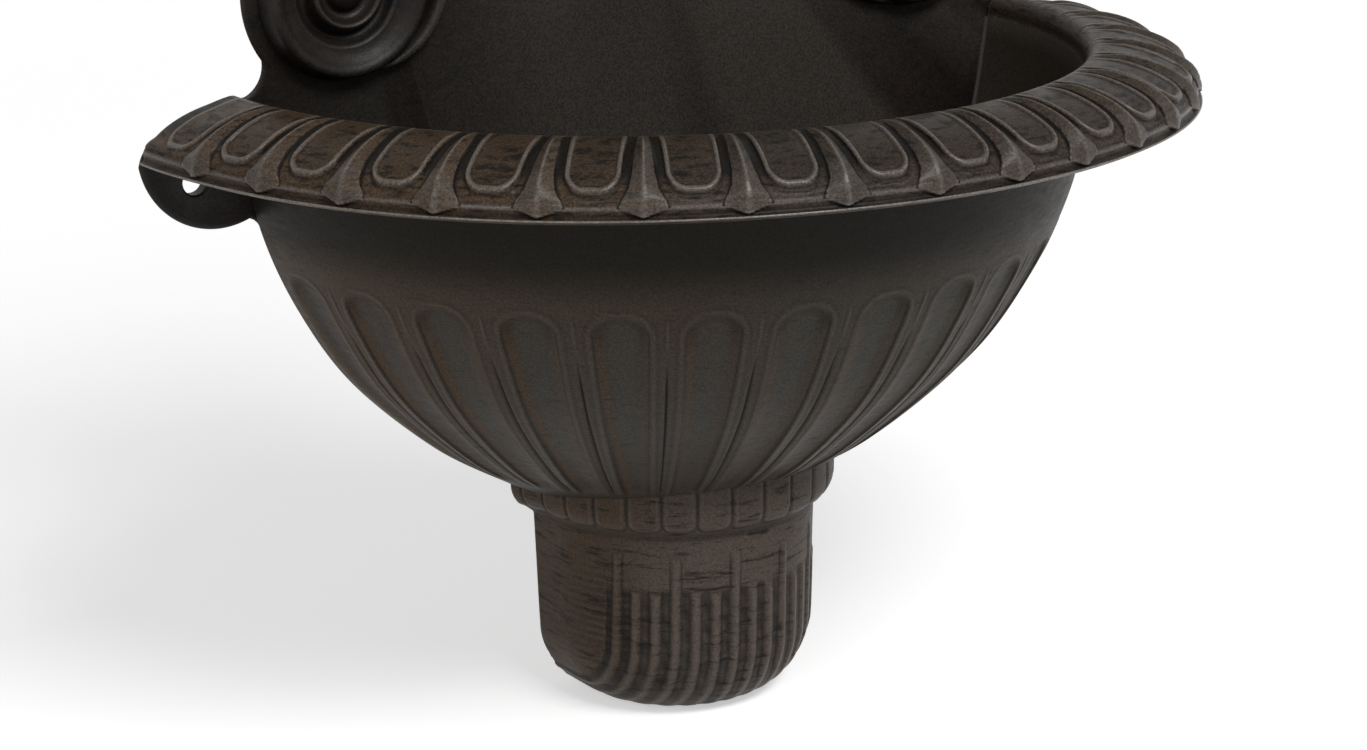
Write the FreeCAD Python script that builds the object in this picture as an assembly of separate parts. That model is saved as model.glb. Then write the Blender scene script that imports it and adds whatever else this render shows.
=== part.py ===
import FreeCAD, Part
import math
import os

# Garden wall fountain: a cast iron back plate, a half round basin and a reeded corbel,
# with a brass compression tap and a brass basin waste. Millimetres, +Z up, the wall is
# the plane Y = 0, the front looks along -Y, and the origin lies midway between the two
# wall holes in the ears of the back plate. Heights in profiles are counted from the rim's
# lip, which is LIP above the origin.

os.makedirs("parts", exist_ok=True)

V = FreeCAD.Vector
UP = V(0, 0, 1)
BACK = V(0, 1, 0)
FRONT = V(0, -1, 0)

# Back plate
PLATE_T = 7.0
LIP = 12.5
EAR_HOLE_X = 243.5
EAR_HOLE_R = 6.0
UPPER_HOLE_X = 40.0
UPPER_HOLE_Z = 335.0
UPPER_HOLE_R = 4.5
EAR_CENTRE = (238.5, -1.0)
EAR_R = 34.0
PLATE_LAYERS = [(2.0, 1.0), (2.0, 3.0), (3.0, 5.5)]
BORDER_W = 7.0
BORDER_H = 2.5

# Scrolls on the back plate: centre, whorl radii and band width
LOW_SCROLL = (165.0, 69.0)
LOW_SCROLL_R = (33.5, 12.0)
TOP_SCROLL = (101.0, 300.0)
TOP_SCROLL_R = (18.5, 7.0)
SCROLL_TURNS = 1.45
BAND_W = 12.0
TOP_BAND_W = 8.0
SCROLL_H = 13.0
STEM_H = 9.0

# Panel, shell and tap boss on the back plate
PANEL_HALF = 66.0
PANEL_LOW = 96.0
PANEL_HIGH = 226.0
PANEL_BEAD = 6.0
PANEL_H = 3.0
SHELL_Z = 345.0
SHELL_LEN = 74.0
SHELL_RIBS = 9
TAP_Z = 165.0
BOSS_R = 36.0
BOSS_H = 9.0
BOSS_RECESS_R = 20.0
BOSS_RECESS = 9.0

# Basin
BASIN_R = 270.0
GASKET_T = 1.5
BASIN_Y = -(PLATE_T + GASKET_T)
DOME_R = 222.0
DOME_W = 48.0
DOME_H = 26.3
DOME_POWER = 1.85
RIM_T = 5.5
LIP_DROP = 2.5
ROLL_R = 226.0
BOWL_OUT = [(221.6, 20.8), (220.0, 0.0), (212.2, -40.5), (195.0, -81.0), (168.0, -121.5),
            (124.2, -162.0), (86.0, -186.0)]
BOWL_IN = [(76.0, -178.0), (114.5, -162.0), (161.6, -121.5), (189.3, -81.0), (206.6, -40.5),
           (214.6, 0.0), (216.3, 14.0)]
TONGUES = 19
TONGUE_R = 14.0
TONGUE_BEAD = 3.2
TONGUE_END = 251.0
TONGUE_H = 1.5
DART_H = 2.4
DART_PLAN = [(225.0, 2.2), (245.5, 3.8), (260.5, 6.0), (265.3, 7.6), (268.5, 10.3)]
DART_CORNER_Z = 5.8
DART_TIP_Z = 1.8
ORNAMENT_ROOT = 2.0
FLUTES = 15
FLUTE_TOP = -59.4
FLUTE_LOW = -182.0
FLUTE_HALF = 14.0
FLUTE_LOW_HALF = 4.0
FLUTE_DEPTH = 1.8
WEB_T = 6.0
LUG_T = 12.0
RIM_SCREW = (238.0, 9.0)
HIGH_SCREW = (177.0, -75.0)
LOW_SCREW = (108.0, -150.0)

# Corbel: a straight run from the plate, then a half round front
CORBEL_RUN = 25.0
CORBEL_OUT = [(81.5, -160.0), (81.5, -190.5), (78.4, -192.5), (74.5, -197.6), (69.8, -202.1),
              (68.6, -227.0), (67.5, -262.0), (64.6, -278.0), (57.0, -291.5), (46.0, -299.5),
              (34.0, -302.0)]
CORBEL_T = 6.0
REEDS = 16
REED_STEP = 8.87
REED_W = 3.4
REED_H = 1.0
TALL_REED = -212.0
SHORT_REED = -232.0
CORBEL_SCREW = (52.0, -240.0)

# Fasteners: radius, head radius, head depth, nut across flats, nut height, washer radius, thickness
M6 = (3.0, 5.6, 3.0, 10.0, 5.0, 6.0, 1.2)
M8 = (4.0, 7.4, 4.0, 13.0, 6.5, 8.0, 1.6)
HOLE_PLAY = 0.3
SCREW_PAST = 2.0

# Waste
WASTE_Y = BASIN_Y - 44.0
FLOOR_Z = LIP - 178.0
UNDER_Z = LIP - 186.0
WASTE_R = 19.0
WASTE_BORE = 16.0
FLANGE_R = 30.0
SEAL_T = 2.0
PIPE_R = 16.0
PIPE_T = 1.5
PIPE_WALL_Z = LIP - 249.0
PIPE_OUT = 22.0
PIPE_BEAD_R = 17.2
PIPE_BEAD = 3.0

# Tap, measured along Y from the wall and up from the inlet axis
TAIL_R = 10.48
TAIL_OUT = 26.0
SHANK_R = 11.0
STEP_IN = 0.2
BODY_R = 12.0
HEAD_Y = -72.0
CHAMBER_R = 15.5
CHAMBER_BORE = 11.0
SEAT_Z = -1.0
SEAT_R = 5.5
INLET_R = 6.5
ROSE_T = 6.0
SPOUT_Y = -84.0
SPOUT_BEND = 24.0
SPOUT_R = 9.5
SPOUT_BORE = 6.5
SPOUT_DROP = 20.0
SPINDLE_R = 5.0
RUNNING = 0.15
HANDLE_ARM = 31.0


def point(x, z, y=0.0):
    """A point from a profile position, whose height counts from the lip."""
    return V(x, y, LIP + z)


def line(a, b):
    return Part.makeLine(a, b)


def polyline(points):
    return [line(a, b) for a, b in zip(points, points[1:])]


def arc(a, b, c):
    return Part.Arc(a, b, c).toShape()


def spline(points):
    curve = Part.BSplineCurve()
    curve.interpolate(points)
    return curve.toShape()


def face(edges):
    return Part.Face(Part.Wire(Part.__sortEdges__(edges)))


def cyl(radius, length, start, axis):
    return Part.makeCylinder(radius, length, start, axis)


def ring(outer, inner, length, start, axis):
    return cyl(outer, length, start, axis).cut(cyl(inner, length, start, axis))


def hexagon(flats, length, start, axis):
    """A hexagonal prism along an axis that is Y or Z."""
    reach = flats / 2.0 / math.cos(math.pi / 6.0)
    turn = FreeCAD.Rotation(UP, axis)
    corners = [start + turn.multVec(V(reach * math.cos(k * math.pi / 3.0),
                                      reach * math.sin(k * math.pi / 3.0), 0.0)) for k in range(7)]
    return Part.Face(Part.makePolygon(corners)).extrude(axis * length)


def mirrored(shape):
    return shape.mirror(V(0, 0, 0), V(1, 0, 0))


def both(shape):
    return [shape, mirrored(shape)]


def fuse(shapes):
    return shapes[0].multiFuse(shapes[1:]).removeSplitter() if len(shapes) > 1 else shapes[0]


def save(node, solids):
    """Writes one node, which may hold several equal solids."""
    found = [s for shape in solids for s in shape.Solids]
    shape = found[0] if len(found) == 1 else Part.makeCompound(found)
    box = shape.BoundBox
    print("%-22s solids %2d valid %s volume %9.0f size %.0f x %.0f x %.0f" % (
        node, len(found), shape.isValid(), shape.Volume, box.XLength, box.YLength, box.ZLength))
    shape.exportStep(os.path.join("parts", node + ".step"))


def dome(width, height, low, power=DOME_POWER, steps=10):
    """Points of the rim's domed section from its crest line out to its lip."""
    points = []
    for k in range(steps + 1):
        a = math.pi / 2.0 * (1.0 - k / float(steps))
        r = DOME_R + width * math.cos(a) ** (2.0 / power)
        z = height * math.sin(a) ** (2.0 / power)
        if r >= low:
            points.append((r, z))
    return points


def turned(edges_points, angle=180.0, y=BASIN_Y):
    """Turns a closed face of profile edges about the upright axis at the plate."""
    return face(edges_points).revolve(V(0, y, 0), UP, angle)


def left(points, y=BASIN_Y):
    """Profile points placed on the left of the axis, where the turn to the right starts."""
    return [point(-r, z, y) for r, z in points]


def rim_outline(grow):
    crest = DOME_H + grow
    return [(ROLL_R, crest)] + dome(DOME_W + grow, crest, ROLL_R + 0.5)


def basin_shell():
    top = left(rim_outline(0.0))
    under = left(dome(DOME_W - RIM_T, DOME_H - RIM_T, BOWL_OUT[0][0]))
    under[0] = left([BOWL_OUT[0]])[0]
    outer = left(BOWL_OUT)
    inner = left(BOWL_IN)
    lip_out = left([(BASIN_R, -LIP_DROP)])[0]
    lip_in = left([(DOME_R + DOME_W - RIM_T, -LIP_DROP)])[0]
    roll = left([(219.5, 23.4)])[0]
    edges = [spline(top), line(top[-1], lip_out), line(lip_out, lip_in), line(lip_in, under[-1]),
             spline(under), spline(outer), spline(inner), arc(inner[-1], roll, top[0])]
    floor = left([(86.0, -186.0), (0.0, -186.0), (0.0, -178.0), (76.0, -178.0)])
    return turned(edges + polyline(floor))


def bowl_filled(shrink=0.0):
    """The bowl's outside as a filled body, drawn in by a small amount."""
    outer = left([(r - shrink, z) for r, z in BOWL_OUT])
    close = [outer[-1], point(0, BOWL_OUT[-1][1], BASIN_Y), point(0, BOWL_OUT[0][1], BASIN_Y), outer[0]]
    return turned([spline(outer)] + polyline(close))


def rim_filled(grow):
    """The rim's domed section as a filled body, standing out by a small amount."""
    top = left(rim_outline(grow))
    low = left([(DOME_R + DOME_W + grow, -LIP_DROP), (ROLL_R, -LIP_DROP)])
    return turned([spline(top)] + polyline([top[-1], low[0], low[1], top[0]]))


def spun(shape, angle):
    """A copy turned about the basin's axis, from the front centre to the given angle."""
    copy = shape.copy()
    copy.rotate(V(0, BASIN_Y, 0), UP, angle)
    return copy


def plan(points, low, high):
    """A prism over a plan outline given as (distance from the axis, sideways) points."""
    corners = [V(s, BASIN_Y - r, LIP + low) for r, s in points]
    return Part.Face(Part.makePolygon(corners + corners[:1])).extrude(UP * (high - low))


def tongue():
    """One U-shaped bead of the rim, open at the inner edge."""
    def loop(radius, start):
        a = V(-radius, BASIN_Y - start, LIP)
        b = V(-radius, BASIN_Y - TONGUE_END, LIP)
        c = V(0, BASIN_Y - TONGUE_END - radius, LIP)
        d = V(radius, BASIN_Y - TONGUE_END, LIP)
        e = V(radius, BASIN_Y - start, LIP)
        return face([line(a, b), arc(b, c, d), line(d, e), line(e, a)])
    return loop(TONGUE_R, 228.0).cut(loop(TONGUE_R - TONGUE_BEAD, 220.0)).extrude(UP * 40.0)


def dart():
    """One spearhead between two tongues, narrow at the inner edge."""
    half = DART_PLAN + [(BASIN_R + 1.5, 0.0)]
    other = [(r, -s) for r, s in reversed(DART_PLAN)]
    wide = DART_PLAN[-1][1] + 2.0
    low = [(-wide, DART_CORNER_Z), (0.0, DART_TIP_Z), (wide, DART_CORNER_Z), (wide, 40.0), (-wide, 40.0)]
    corners = [point(x, z, BASIN_Y - 200.0) for x, z in low]
    spear = Part.Face(Part.makePolygon(corners + corners[:1])).extrude(FRONT * 80.0)
    return plan(half + other, 0.0, 40.0).common(spear)


def rim_ornament():
    step = 180.0 / TONGUES
    side = (TONGUES - 1) / 2.0
    tongues = [spun(tongue(), (k - side) * step) for k in range(TONGUES)]
    darts = [spun(dart(), (k + 0.5 - side) * step) for k in range(TONGUES - 1)]
    inside = rim_filled(-ORNAMENT_ROOT)
    raised = Part.makeCompound(tongues).common(rim_filled(TONGUE_H).cut(inside)).Solids
    return raised + Part.makeCompound(darts).common(rim_filled(DART_H).cut(inside)).Solids


def flute_cuts():
    """Sunken channels with round heads, which taper down the bowl."""
    def outline():
        a = V(-FLUTE_LOW_HALF, 0, LIP + FLUTE_LOW)
        b = V(-FLUTE_HALF, 0, LIP + FLUTE_TOP - FLUTE_HALF)
        c = V(0, 0, LIP + FLUTE_TOP)
        d = V(FLUTE_HALF, 0, LIP + FLUTE_TOP - FLUTE_HALF)
        e = V(FLUTE_LOW_HALF, 0, LIP + FLUTE_LOW)
        return face([line(a, b), arc(b, c, d), line(d, e), line(e, a)])
    prism = outline().extrude(FRONT * (BASIN_R + 10.0))
    step = 180.0 / FLUTES
    side = (FLUTES - 1) / 2.0
    prisms = [spun(prism, (k - side) * step) for k in range(FLUTES)]
    skin = bowl_filled(-1.0).cut(bowl_filled(FLUTE_DEPTH))
    return [p.common(skin) for p in prisms]


def lug(spot, half, thick, y):
    """A block behind a screw hole, standing out from the plate's side."""
    x, z = spot
    return Part.makeBox(2 * half + 16.0, thick, 2 * half, V(x - half, y - thick, LIP + z - half))


def screw_bore(spot, size, y0, y1):
    x, z = spot
    return cyl(size[0] + HOLE_PLAY, y0 - y1, point(x, z, y0), FRONT)


def basin():
    shell = basin_shell()
    web_box = Part.makeBox(46.0, WEB_T, 24.0, V(220.0, BASIN_Y - WEB_T, LIP - LIP_DROP))
    web = rim_filled(0.0).common(web_box)
    lugs = []
    for spot, half in ((HIGH_SCREW, 10.0), (LOW_SCREW, 11.0)):
        lugs += both(lug(spot, half, LUG_T, BASIN_Y).common(bowl_filled(1.0)))
    body = fuse([shell] + both(web) + lugs + rim_ornament())
    cuts = flute_cuts()
    cuts.append(cyl(WASTE_R + 1.0, 20.0, V(0, WASTE_Y, UNDER_Z - 5.0), UP))
    for spot, size in ((RIM_SCREW, M6), (HIGH_SCREW, M8), (LOW_SCREW, M8)):
        cuts += both(screw_bore(spot, size, 0.0, BASIN_Y - LUG_T - 5.0))
    behind = Part.makeBox(700.0, 50.0, 700.0, V(-350.0, BASIN_Y, -350.0))
    return body.cut(Part.makeCompound(cuts)).cut(behind)


def back_faces(shape, y):
    return [f for f in shape.Faces if abs(f.CenterOfMass.y - y) < 0.01 and f.BoundBox.YLength < 0.01]


def gasket(shape):
    """The strip between the plate and the basin, cut to the basin's rear edge."""
    return [f.extrude(BACK * GASKET_T) for f in back_faces(shape, BASIN_Y)]


def straight_and_round(profile, y_back, run):
    """A body with a straight run from the plate and a half round front."""
    y_turn = y_back - run
    half = [point(-r, z, y_turn) for r, z in profile]
    ends = [point(0, profile[-1][1], y_turn), point(0, profile[0][1], y_turn)]
    loop = face(polyline(half + ends + half[:1]))
    front = loop.revolve(V(0, y_turn, 0), UP, 180.0)
    section = loop.fuse(mirrored(loop))
    return front.fuse(section.extrude(BACK * run)).removeSplitter()


def behind_basin():
    """The room above the bowl's underside, which the basin and its gasket take."""
    return Part.makeBox(300.0, 20.0, 60.0, V(-150.0, BASIN_Y, UNDER_Z))


def reeds(y_turn):
    """Upright beads round the corbel's front, every third one taller."""
    side = (REEDS - 1) / 2.0
    slabs = []
    for k in range(REEDS):
        top = TALL_REED if k % 3 == 0 else SHORT_REED
        slab = Part.makeBox(REED_W, 80.0, top - CORBEL_OUT[-1][1],
                            V(-REED_W / 2.0, y_turn - 80.0, LIP + CORBEL_OUT[-1][1]))
        slab.rotate(V(0, y_turn, 0), UP, (k - side) * REED_STEP)
        slabs.append(slab)
    return slabs


def corbel():
    y_back = -PLATE_T
    outer = straight_and_round(CORBEL_OUT, y_back, CORBEL_RUN)
    inside = [(r - CORBEL_T, z) for r, z in CORBEL_OUT[:-1]]
    inside = [(r, max(z, CORBEL_OUT[-1][1] + CORBEL_T)) for r, z in inside[:-1]]
    hollow = straight_and_round([(inside[0][0], -150.0)] + inside, y_back + 1.0, CORBEL_RUN + 1.0)
    proud = straight_and_round([(r + REED_H, z) for r, z in CORBEL_OUT], y_back, CORBEL_RUN)
    beads = [s.common(proud) for s in reeds(y_back - CORBEL_RUN)]
    lugs = both(lug(CORBEL_SCREW, 9.0, LUG_T, y_back).common(outer))
    body = fuse([outer.cut(hollow)] + lugs + [b.cut(hollow) for b in beads])
    body = body.cut(bowl_filled()).cut(behind_basin())
    return body.cut(Part.makeCompound(both(screw_bore(CORBEL_SCREW, M8, 0.0, -40.0))))


def on_circle(centre, radius, degrees):
    a = math.radians(degrees)
    return point(centre[0] + radius * math.cos(a), centre[1] + radius * math.sin(a))


def plate_half_edges(inset):
    """
    The right half of the plate's outline, from the bottom centre to the top centre. Up to
    the ears it stays inside the edge of the basin and the corbel by the given inset.
    """
    def shy(x, z):
        return point(x - inset, z)
    low = inset - 302.0
    edges = [line(point(0, low), shy(34.0, low))]
    edges.append(arc(shy(34.0, low), shy(58.0, -290.5), shy(67.5, -262.0)))
    edges.append(line(shy(67.5, -262.0), shy(69.8, -202.5)))
    edges.append(arc(shy(69.8, -202.5), shy(74.9, -197.2), shy(81.5, -190.5)))
    edges.append(line(shy(81.5, -190.5), shy(81.5, -186.0)))
    edges.append(line(shy(81.5, -186.0), shy(86.0, -186.0)))
    bowl = [shy(r, z) for r, z in reversed(BOWL_OUT[2:])]
    edges.append(spline(bowl))
    ear_start = on_circle(EAR_CENTRE, EAR_R, -117.0)
    edges.append(arc(bowl[-1], point(215.2, -33.6), ear_start))
    ear_end = on_circle(EAR_CENTRE, EAR_R - 1.0, 3.0)
    edges.append(arc(ear_start, on_circle(EAR_CENTRE, EAR_R, -50.0), ear_end))
    edges.append(arc(ear_end, point(260.0, 12.6), point(240.0, 22.6)))
    edges.append(line(point(240.0, 22.6), point(216.0, 25.0)))
    waist = on_circle(LOW_SCROLL, 51.0, -35.0)
    edges.append(arc(point(216.0, 25.0), point(208.2, 31.5), waist))
    lobe_end = on_circle(LOW_SCROLL, 51.0, 62.0)
    edges.append(arc(waist, on_circle(LOW_SCROLL, 51.0, 10.0), lobe_end))
    neck = point(128.0, 178.0)
    edges.append(arc(lobe_end, point(149.0, 139.0), neck))
    lobe_low = on_circle(TOP_SCROLL, 29.0, -52.0)
    edges.append(line(neck, point(121.0, 255.0)))
    edges.append(line(point(121.0, 255.0), lobe_low))
    lobe_top = on_circle(TOP_SCROLL, 29.0, 80.0)
    edges.append(arc(lobe_low, on_circle(TOP_SCROLL, 29.0, 10.0), lobe_top))
    crest = on_circle((0.0, 362.0), 78.0, -3.0)
    edges.append(arc(lobe_top, point(88.0, 338.0), crest))
    edges.append(arc(crest, on_circle((0.0, 362.0), 78.0, 45.0), point(0, 440.0)))
    return edges


def band(centre, radii, width, start, turns):
    """A flat spiral band, its width closing up towards the eye."""
    outer, inner = [], []
    steps = 26
    for k in range(steps + 1):
        f = k / float(steps)
        radius = radii[0] + (radii[1] - radii[0]) * f
        half = width / 2.0 * (1.0 - 0.45 * f)
        a = start + 360.0 * turns * f
        outer.append(on_circle(centre, radius + half, a))
        inner.append(on_circle(centre, radius - half, a))
    return face([spline(outer), spline(inner), line(outer[0], inner[0]), line(outer[-1], inner[-1])])


def scroll_relief():
    """The scrolls beside the basin, the stems above them and the small upper scrolls."""
    start_low = -100.0
    low = band(LOW_SCROLL, LOW_SCROLL_R, BAND_W, start_low, SCROLL_TURNS)
    start_top = 180.0
    top = band(TOP_SCROLL, TOP_SCROLL_R, TOP_BAND_W, start_top, -SCROLL_TURNS)
    outer = [on_circle(LOW_SCROLL, 39.5, -100.0), on_circle(LOW_SCROLL, 45.5, -125.0),
             on_circle(LOW_SCROLL, 53.0, -165.0), point(108.5, 104.0), point(97.0, 190.0),
             point(81.0, 262.0), on_circle(TOP_SCROLL, 22.5, 180.0)]
    inner = [on_circle(LOW_SCROLL, 31.0, -100.0), on_circle(LOW_SCROLL, 37.0, -125.0),
             on_circle(LOW_SCROLL, 44.5, -165.0), point(117.0, 104.0), point(105.0, 190.0),
             point(88.5, 262.0), on_circle(TOP_SCROLL, 15.0, 180.0)]
    stem = face([spline(outer), spline(inner), line(outer[0], inner[0]), line(outer[-1], inner[-1])])
    low_eye = cyl(7.5, SCROLL_H + PLATE_T, point(*LOW_SCROLL), FRONT)
    top_eye = cyl(4.5, STEM_H + PLATE_T, point(*TOP_SCROLL), FRONT)
    return [low.extrude(FRONT * (PLATE_T + SCROLL_H)), top.extrude(FRONT * (PLATE_T + STEM_H)),
            stem.extrude(FRONT * (PLATE_T + STEM_H)), low_eye, top_eye]


def panel_relief():
    """An arched bead that frames the tap."""
    def arch(half, low, high):
        a, b = point(-half, low), point(-half, high)
        c, d = point(half, high), point(half, low)
        return face([line(a, b), arc(b, point(0, high + half * 0.62), c), line(c, d), line(d, a)])
    outer = arch(PANEL_HALF, PANEL_LOW, PANEL_HIGH)
    inner = arch(PANEL_HALF - PANEL_BEAD, PANEL_LOW + PANEL_BEAD, PANEL_HIGH - 1.0)
    return outer.cut(inner).extrude(FRONT * (PLATE_T + PANEL_H))


def shell_relief():
    """A fan of tapering ribs for the shell in the crest."""
    ribs = []
    for k in range(SHELL_RIBS):
        a = math.radians(18.0 + 144.0 * k / (SHELL_RIBS - 1))
        way = V(math.cos(a), 0, math.sin(a))
        reach = SHELL_LEN * (0.86 + 0.14 * math.sin(a))
        ribs.append(Part.makeCone(3.0, 9.5, reach, point(0, SHELL_Z, -PLATE_T + 2.0), way))
    ribs.append(Part.makeSphere(11.0, point(0, SHELL_Z, -PLATE_T + 1.0)))
    front = Part.makeBox(300.0, 60.0, 300.0, V(-150.0, -60.0 - 0.5, LIP + 250.0))
    return [r.common(front) for r in ribs]


def countersink(spot, size):
    x, z = spot
    hole = cyl(size[0] + HOLE_PLAY, PLATE_T, point(x, z), FRONT)
    head = Part.makeCone(size[1] + HOLE_PLAY, size[0] + HOLE_PLAY, size[2], point(x, z), FRONT)
    return hole.fuse(head)


def plate_blank(inset):
    half = plate_half_edges(inset)
    return face(half + [mirrored(e) for e in half])


def plate_layers():
    """The plate from its front to the wall, its lower edge drawn in step by step."""
    layers = []
    y = -PLATE_T
    for thick, inset in PLATE_LAYERS:
        layers.append(plate_blank(inset).extrude(BACK * thick).translated(V(0, y, 0)))
        y += thick
    return layers


def back_plate():
    body = plate_layers()
    blank = plate_blank(0.0)
    border = blank.makeOffset2D(-BORDER_W)
    rise = blank.cut(border).extrude(FRONT * (BORDER_H + 1.0))
    raised = rise.translated(V(0, 1.0 - PLATE_T, 0))
    above = Part.makeBox(600.0, 60.0, 500.0, V(-300.0, -50.0, LIP + DOME_H + 4.0))
    body.append(raised.common(above))
    for shape in scroll_relief():
        body += both(shape)
    body.append(panel_relief())
    body += shell_relief()
    body.append(cyl(BOSS_R, PLATE_T + BOSS_H, point(0, TAP_Z), FRONT))
    cuts = []
    for spot, size in ((RIM_SCREW, M6), (HIGH_SCREW, M8), (LOW_SCREW, M8), (CORBEL_SCREW, M8)):
        cuts += both(countersink(spot, size))
    cuts += both(cyl(EAR_HOLE_R, 30.0, V(EAR_HOLE_X, 1.0, 0), FRONT))
    cuts += both(cyl(UPPER_HOLE_R, 60.0, point(UPPER_HOLE_X, UPPER_HOLE_Z, 1.0), FRONT))
    cuts.append(cyl(BOSS_RECESS_R, BOSS_RECESS, point(0, TAP_Z), FRONT))
    cuts.append(cyl(SHANK_R + 0.5, 60.0, point(0, TAP_Z), FRONT))
    cuts.append(cyl(PIPE_R + 2.0, 20.0, V(0, 1.0, PIPE_WALL_Z), FRONT))
    return fuse(body).cut(Part.makeCompound(cuts))


def screw(spot, size, end):
    """A countersunk screw driven from the wall side."""
    x, z = spot
    radius, head, depth = size[0], size[1], size[2]
    shaft = cyl(radius, end - 0.4, point(x, z, -0.4), FRONT)
    cone = Part.makeCone(head, radius, depth - 0.4, point(x, z, -0.4), FRONT)
    slot = Part.makeBox(head * 2.4, 1.4, 1.6, V(x - head * 1.2, -1.8, LIP + z - 0.8))
    return shaft.fuse(cone).cut(slot)


def nut(spot, size, y):
    x, z = spot
    body = hexagon(size[3], size[4], point(x, z, y), FRONT)
    return body.cut(cyl(size[0] + 0.05, size[4], point(x, z, y), FRONT))


def washer(spot, size, y):
    x, z = spot
    return ring(size[5], size[0] + 0.2, size[6], point(x, z, y), FRONT)


def fastened(spots, y_back):
    """Screws, washers and nuts for a list of (place, size, lug thickness)."""
    screws, washers, nuts = [], [], []
    for spot, size, thick in spots:
        y = y_back - thick
        end = -y + size[6] + size[4] + SCREW_PAST
        screws += both(screw(spot, size, end))
        washers += both(washer(spot, size, y))
        nuts += both(nut(spot, size, y - size[6]))
    return screws, washers, nuts


def drain_parts():
    """The waste: flange with its strainer, seals, nut, bent tail pipe and stopper."""
    def at(z):
        return V(0, WASTE_Y, z)
    top = FLOOR_Z + SEAL_T
    flange = cyl(FLANGE_R, 3.0, at(top), UP)
    tube_low = UNDER_Z - 14.0
    flange = flange.fuse(cyl(WASTE_R, top - tube_low, at(tube_low), UP))
    flange = flange.cut(cyl(WASTE_BORE, 60.0, at(tube_low + 4.0), UP))
    flange = flange.cut(Part.makeCone(WASTE_BORE, WASTE_BORE + 5.0, 3.0, at(top), UP))
    holes = [cyl(3.2, 10.0, at(tube_low - 1.0), UP)]
    for k in range(6):
        a = k * math.pi / 3.0
        holes.append(cyl(3.2, 10.0, V(9.5 * math.cos(a), WASTE_Y + 9.5 * math.sin(a), tube_low - 1.0), UP))
    flange = flange.cut(Part.makeCompound(holes))
    save("drain_flange", [flange])
    save("drain_upper_seal", [ring(FLANGE_R - 1.0, WASTE_R + 0.05, SEAL_T, at(FLOOR_Z), UP)])
    save("drain_lower_seal", [ring(FLANGE_R - 2.0, WASTE_R + 0.05, SEAL_T, at(UNDER_Z - SEAL_T), UP)])
    low = UNDER_Z - SEAL_T
    lock = hexagon(50.0, 6.0, at(low - 6.0), UP).cut(cyl(WASTE_R + 0.05, 6.0, at(low - 6.0), UP))
    save("drain_locknut", [lock])
    save("drain_pipe", [drain_pipe(tube_low)])
    cap_top = tube_low - 0.1
    cap = ring(WASTE_R + 4.0, WASTE_R + 0.1, 5.0, at(cap_top), UP)
    cap = cap.fuse(ring(WASTE_R + 4.0, PIPE_R + 0.1, 4.0, at(cap_top - 4.0), UP)).removeSplitter()
    save("drain_cap_nut", [cap])
    stopper = Part.makeCone(WASTE_BORE - 1.0, WASTE_BORE + 4.6, 3.6, at(top - 0.4), UP)
    stopper = stopper.fuse(cyl(WASTE_BORE - 1.0, 5.0, at(top - 5.4), UP)).removeSplitter()
    stopper = stopper.cut(cyl(3.0, 8.0, at(top - 2.0), UP))
    save("drain_plug", [stopper])
    knob_low = top + 3.2
    stem = cyl(2.95, 5.0, at(top - 1.8), UP)
    knob = fuse([stem, cyl(9.0, 1.6, at(knob_low), UP), cyl(3.0, 7.0, at(knob_low), UP),
                 Part.makeTorus(6.5, 1.6, V(0, WASTE_Y, knob_low + 12.5), V(1, 0, 0))])
    save("plug_ring", [knob])


def drain_pipe(tube_low):
    """The tail pipe: down from the waste, round a bend and back through the wall."""
    bend = 30.0
    top = tube_low - 0.1
    corner = PIPE_WALL_Z + bend
    a, b = V(0, WASTE_Y, top), V(0, WASTE_Y, corner)
    h = bend * math.sqrt(0.5)
    mid = V(0, WASTE_Y + bend - h, corner - h)
    c = V(0, WASTE_Y + bend, PIPE_WALL_Z)
    d = V(0, PIPE_OUT, PIPE_WALL_Z)
    path = Part.Wire([line(a, b), arc(b, mid, c), line(c, d)])

    def tube(radius):
        loop = Part.Wire(Part.makeCircle(radius, a, V(0, 0, -1)))
        return path.makePipeShell([loop], True, False)
    bead = cyl(PIPE_BEAD_R, PIPE_BEAD, V(0, -STEP_IN, PIPE_WALL_Z), FRONT)
    return tube(PIPE_R).fuse(bead).cut(tube(PIPE_R - PIPE_T))


def tap_point(y, z):
    return V(0, y, LIP + TAP_Z + z)


def spout(radius):
    """A pipe from the valve chamber, round a quarter bend and down."""
    a, b = tap_point(HEAD_Y, 5.0), tap_point(SPOUT_Y, 5.0)
    h = SPOUT_BEND * math.sqrt(0.5)
    mid = tap_point(SPOUT_Y - h, 5.0 - SPOUT_BEND + h)
    c = tap_point(SPOUT_Y - SPOUT_BEND, 5.0 - SPOUT_BEND)
    d = tap_point(SPOUT_Y - SPOUT_BEND, 5.0 - SPOUT_BEND - SPOUT_DROP)
    path = Part.Wire([line(a, b), arc(b, mid, c), line(c, d)])
    loop = Part.Wire(Part.makeCircle(radius, a, FRONT))
    return path.makePipeShell([loop], True, False)


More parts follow.
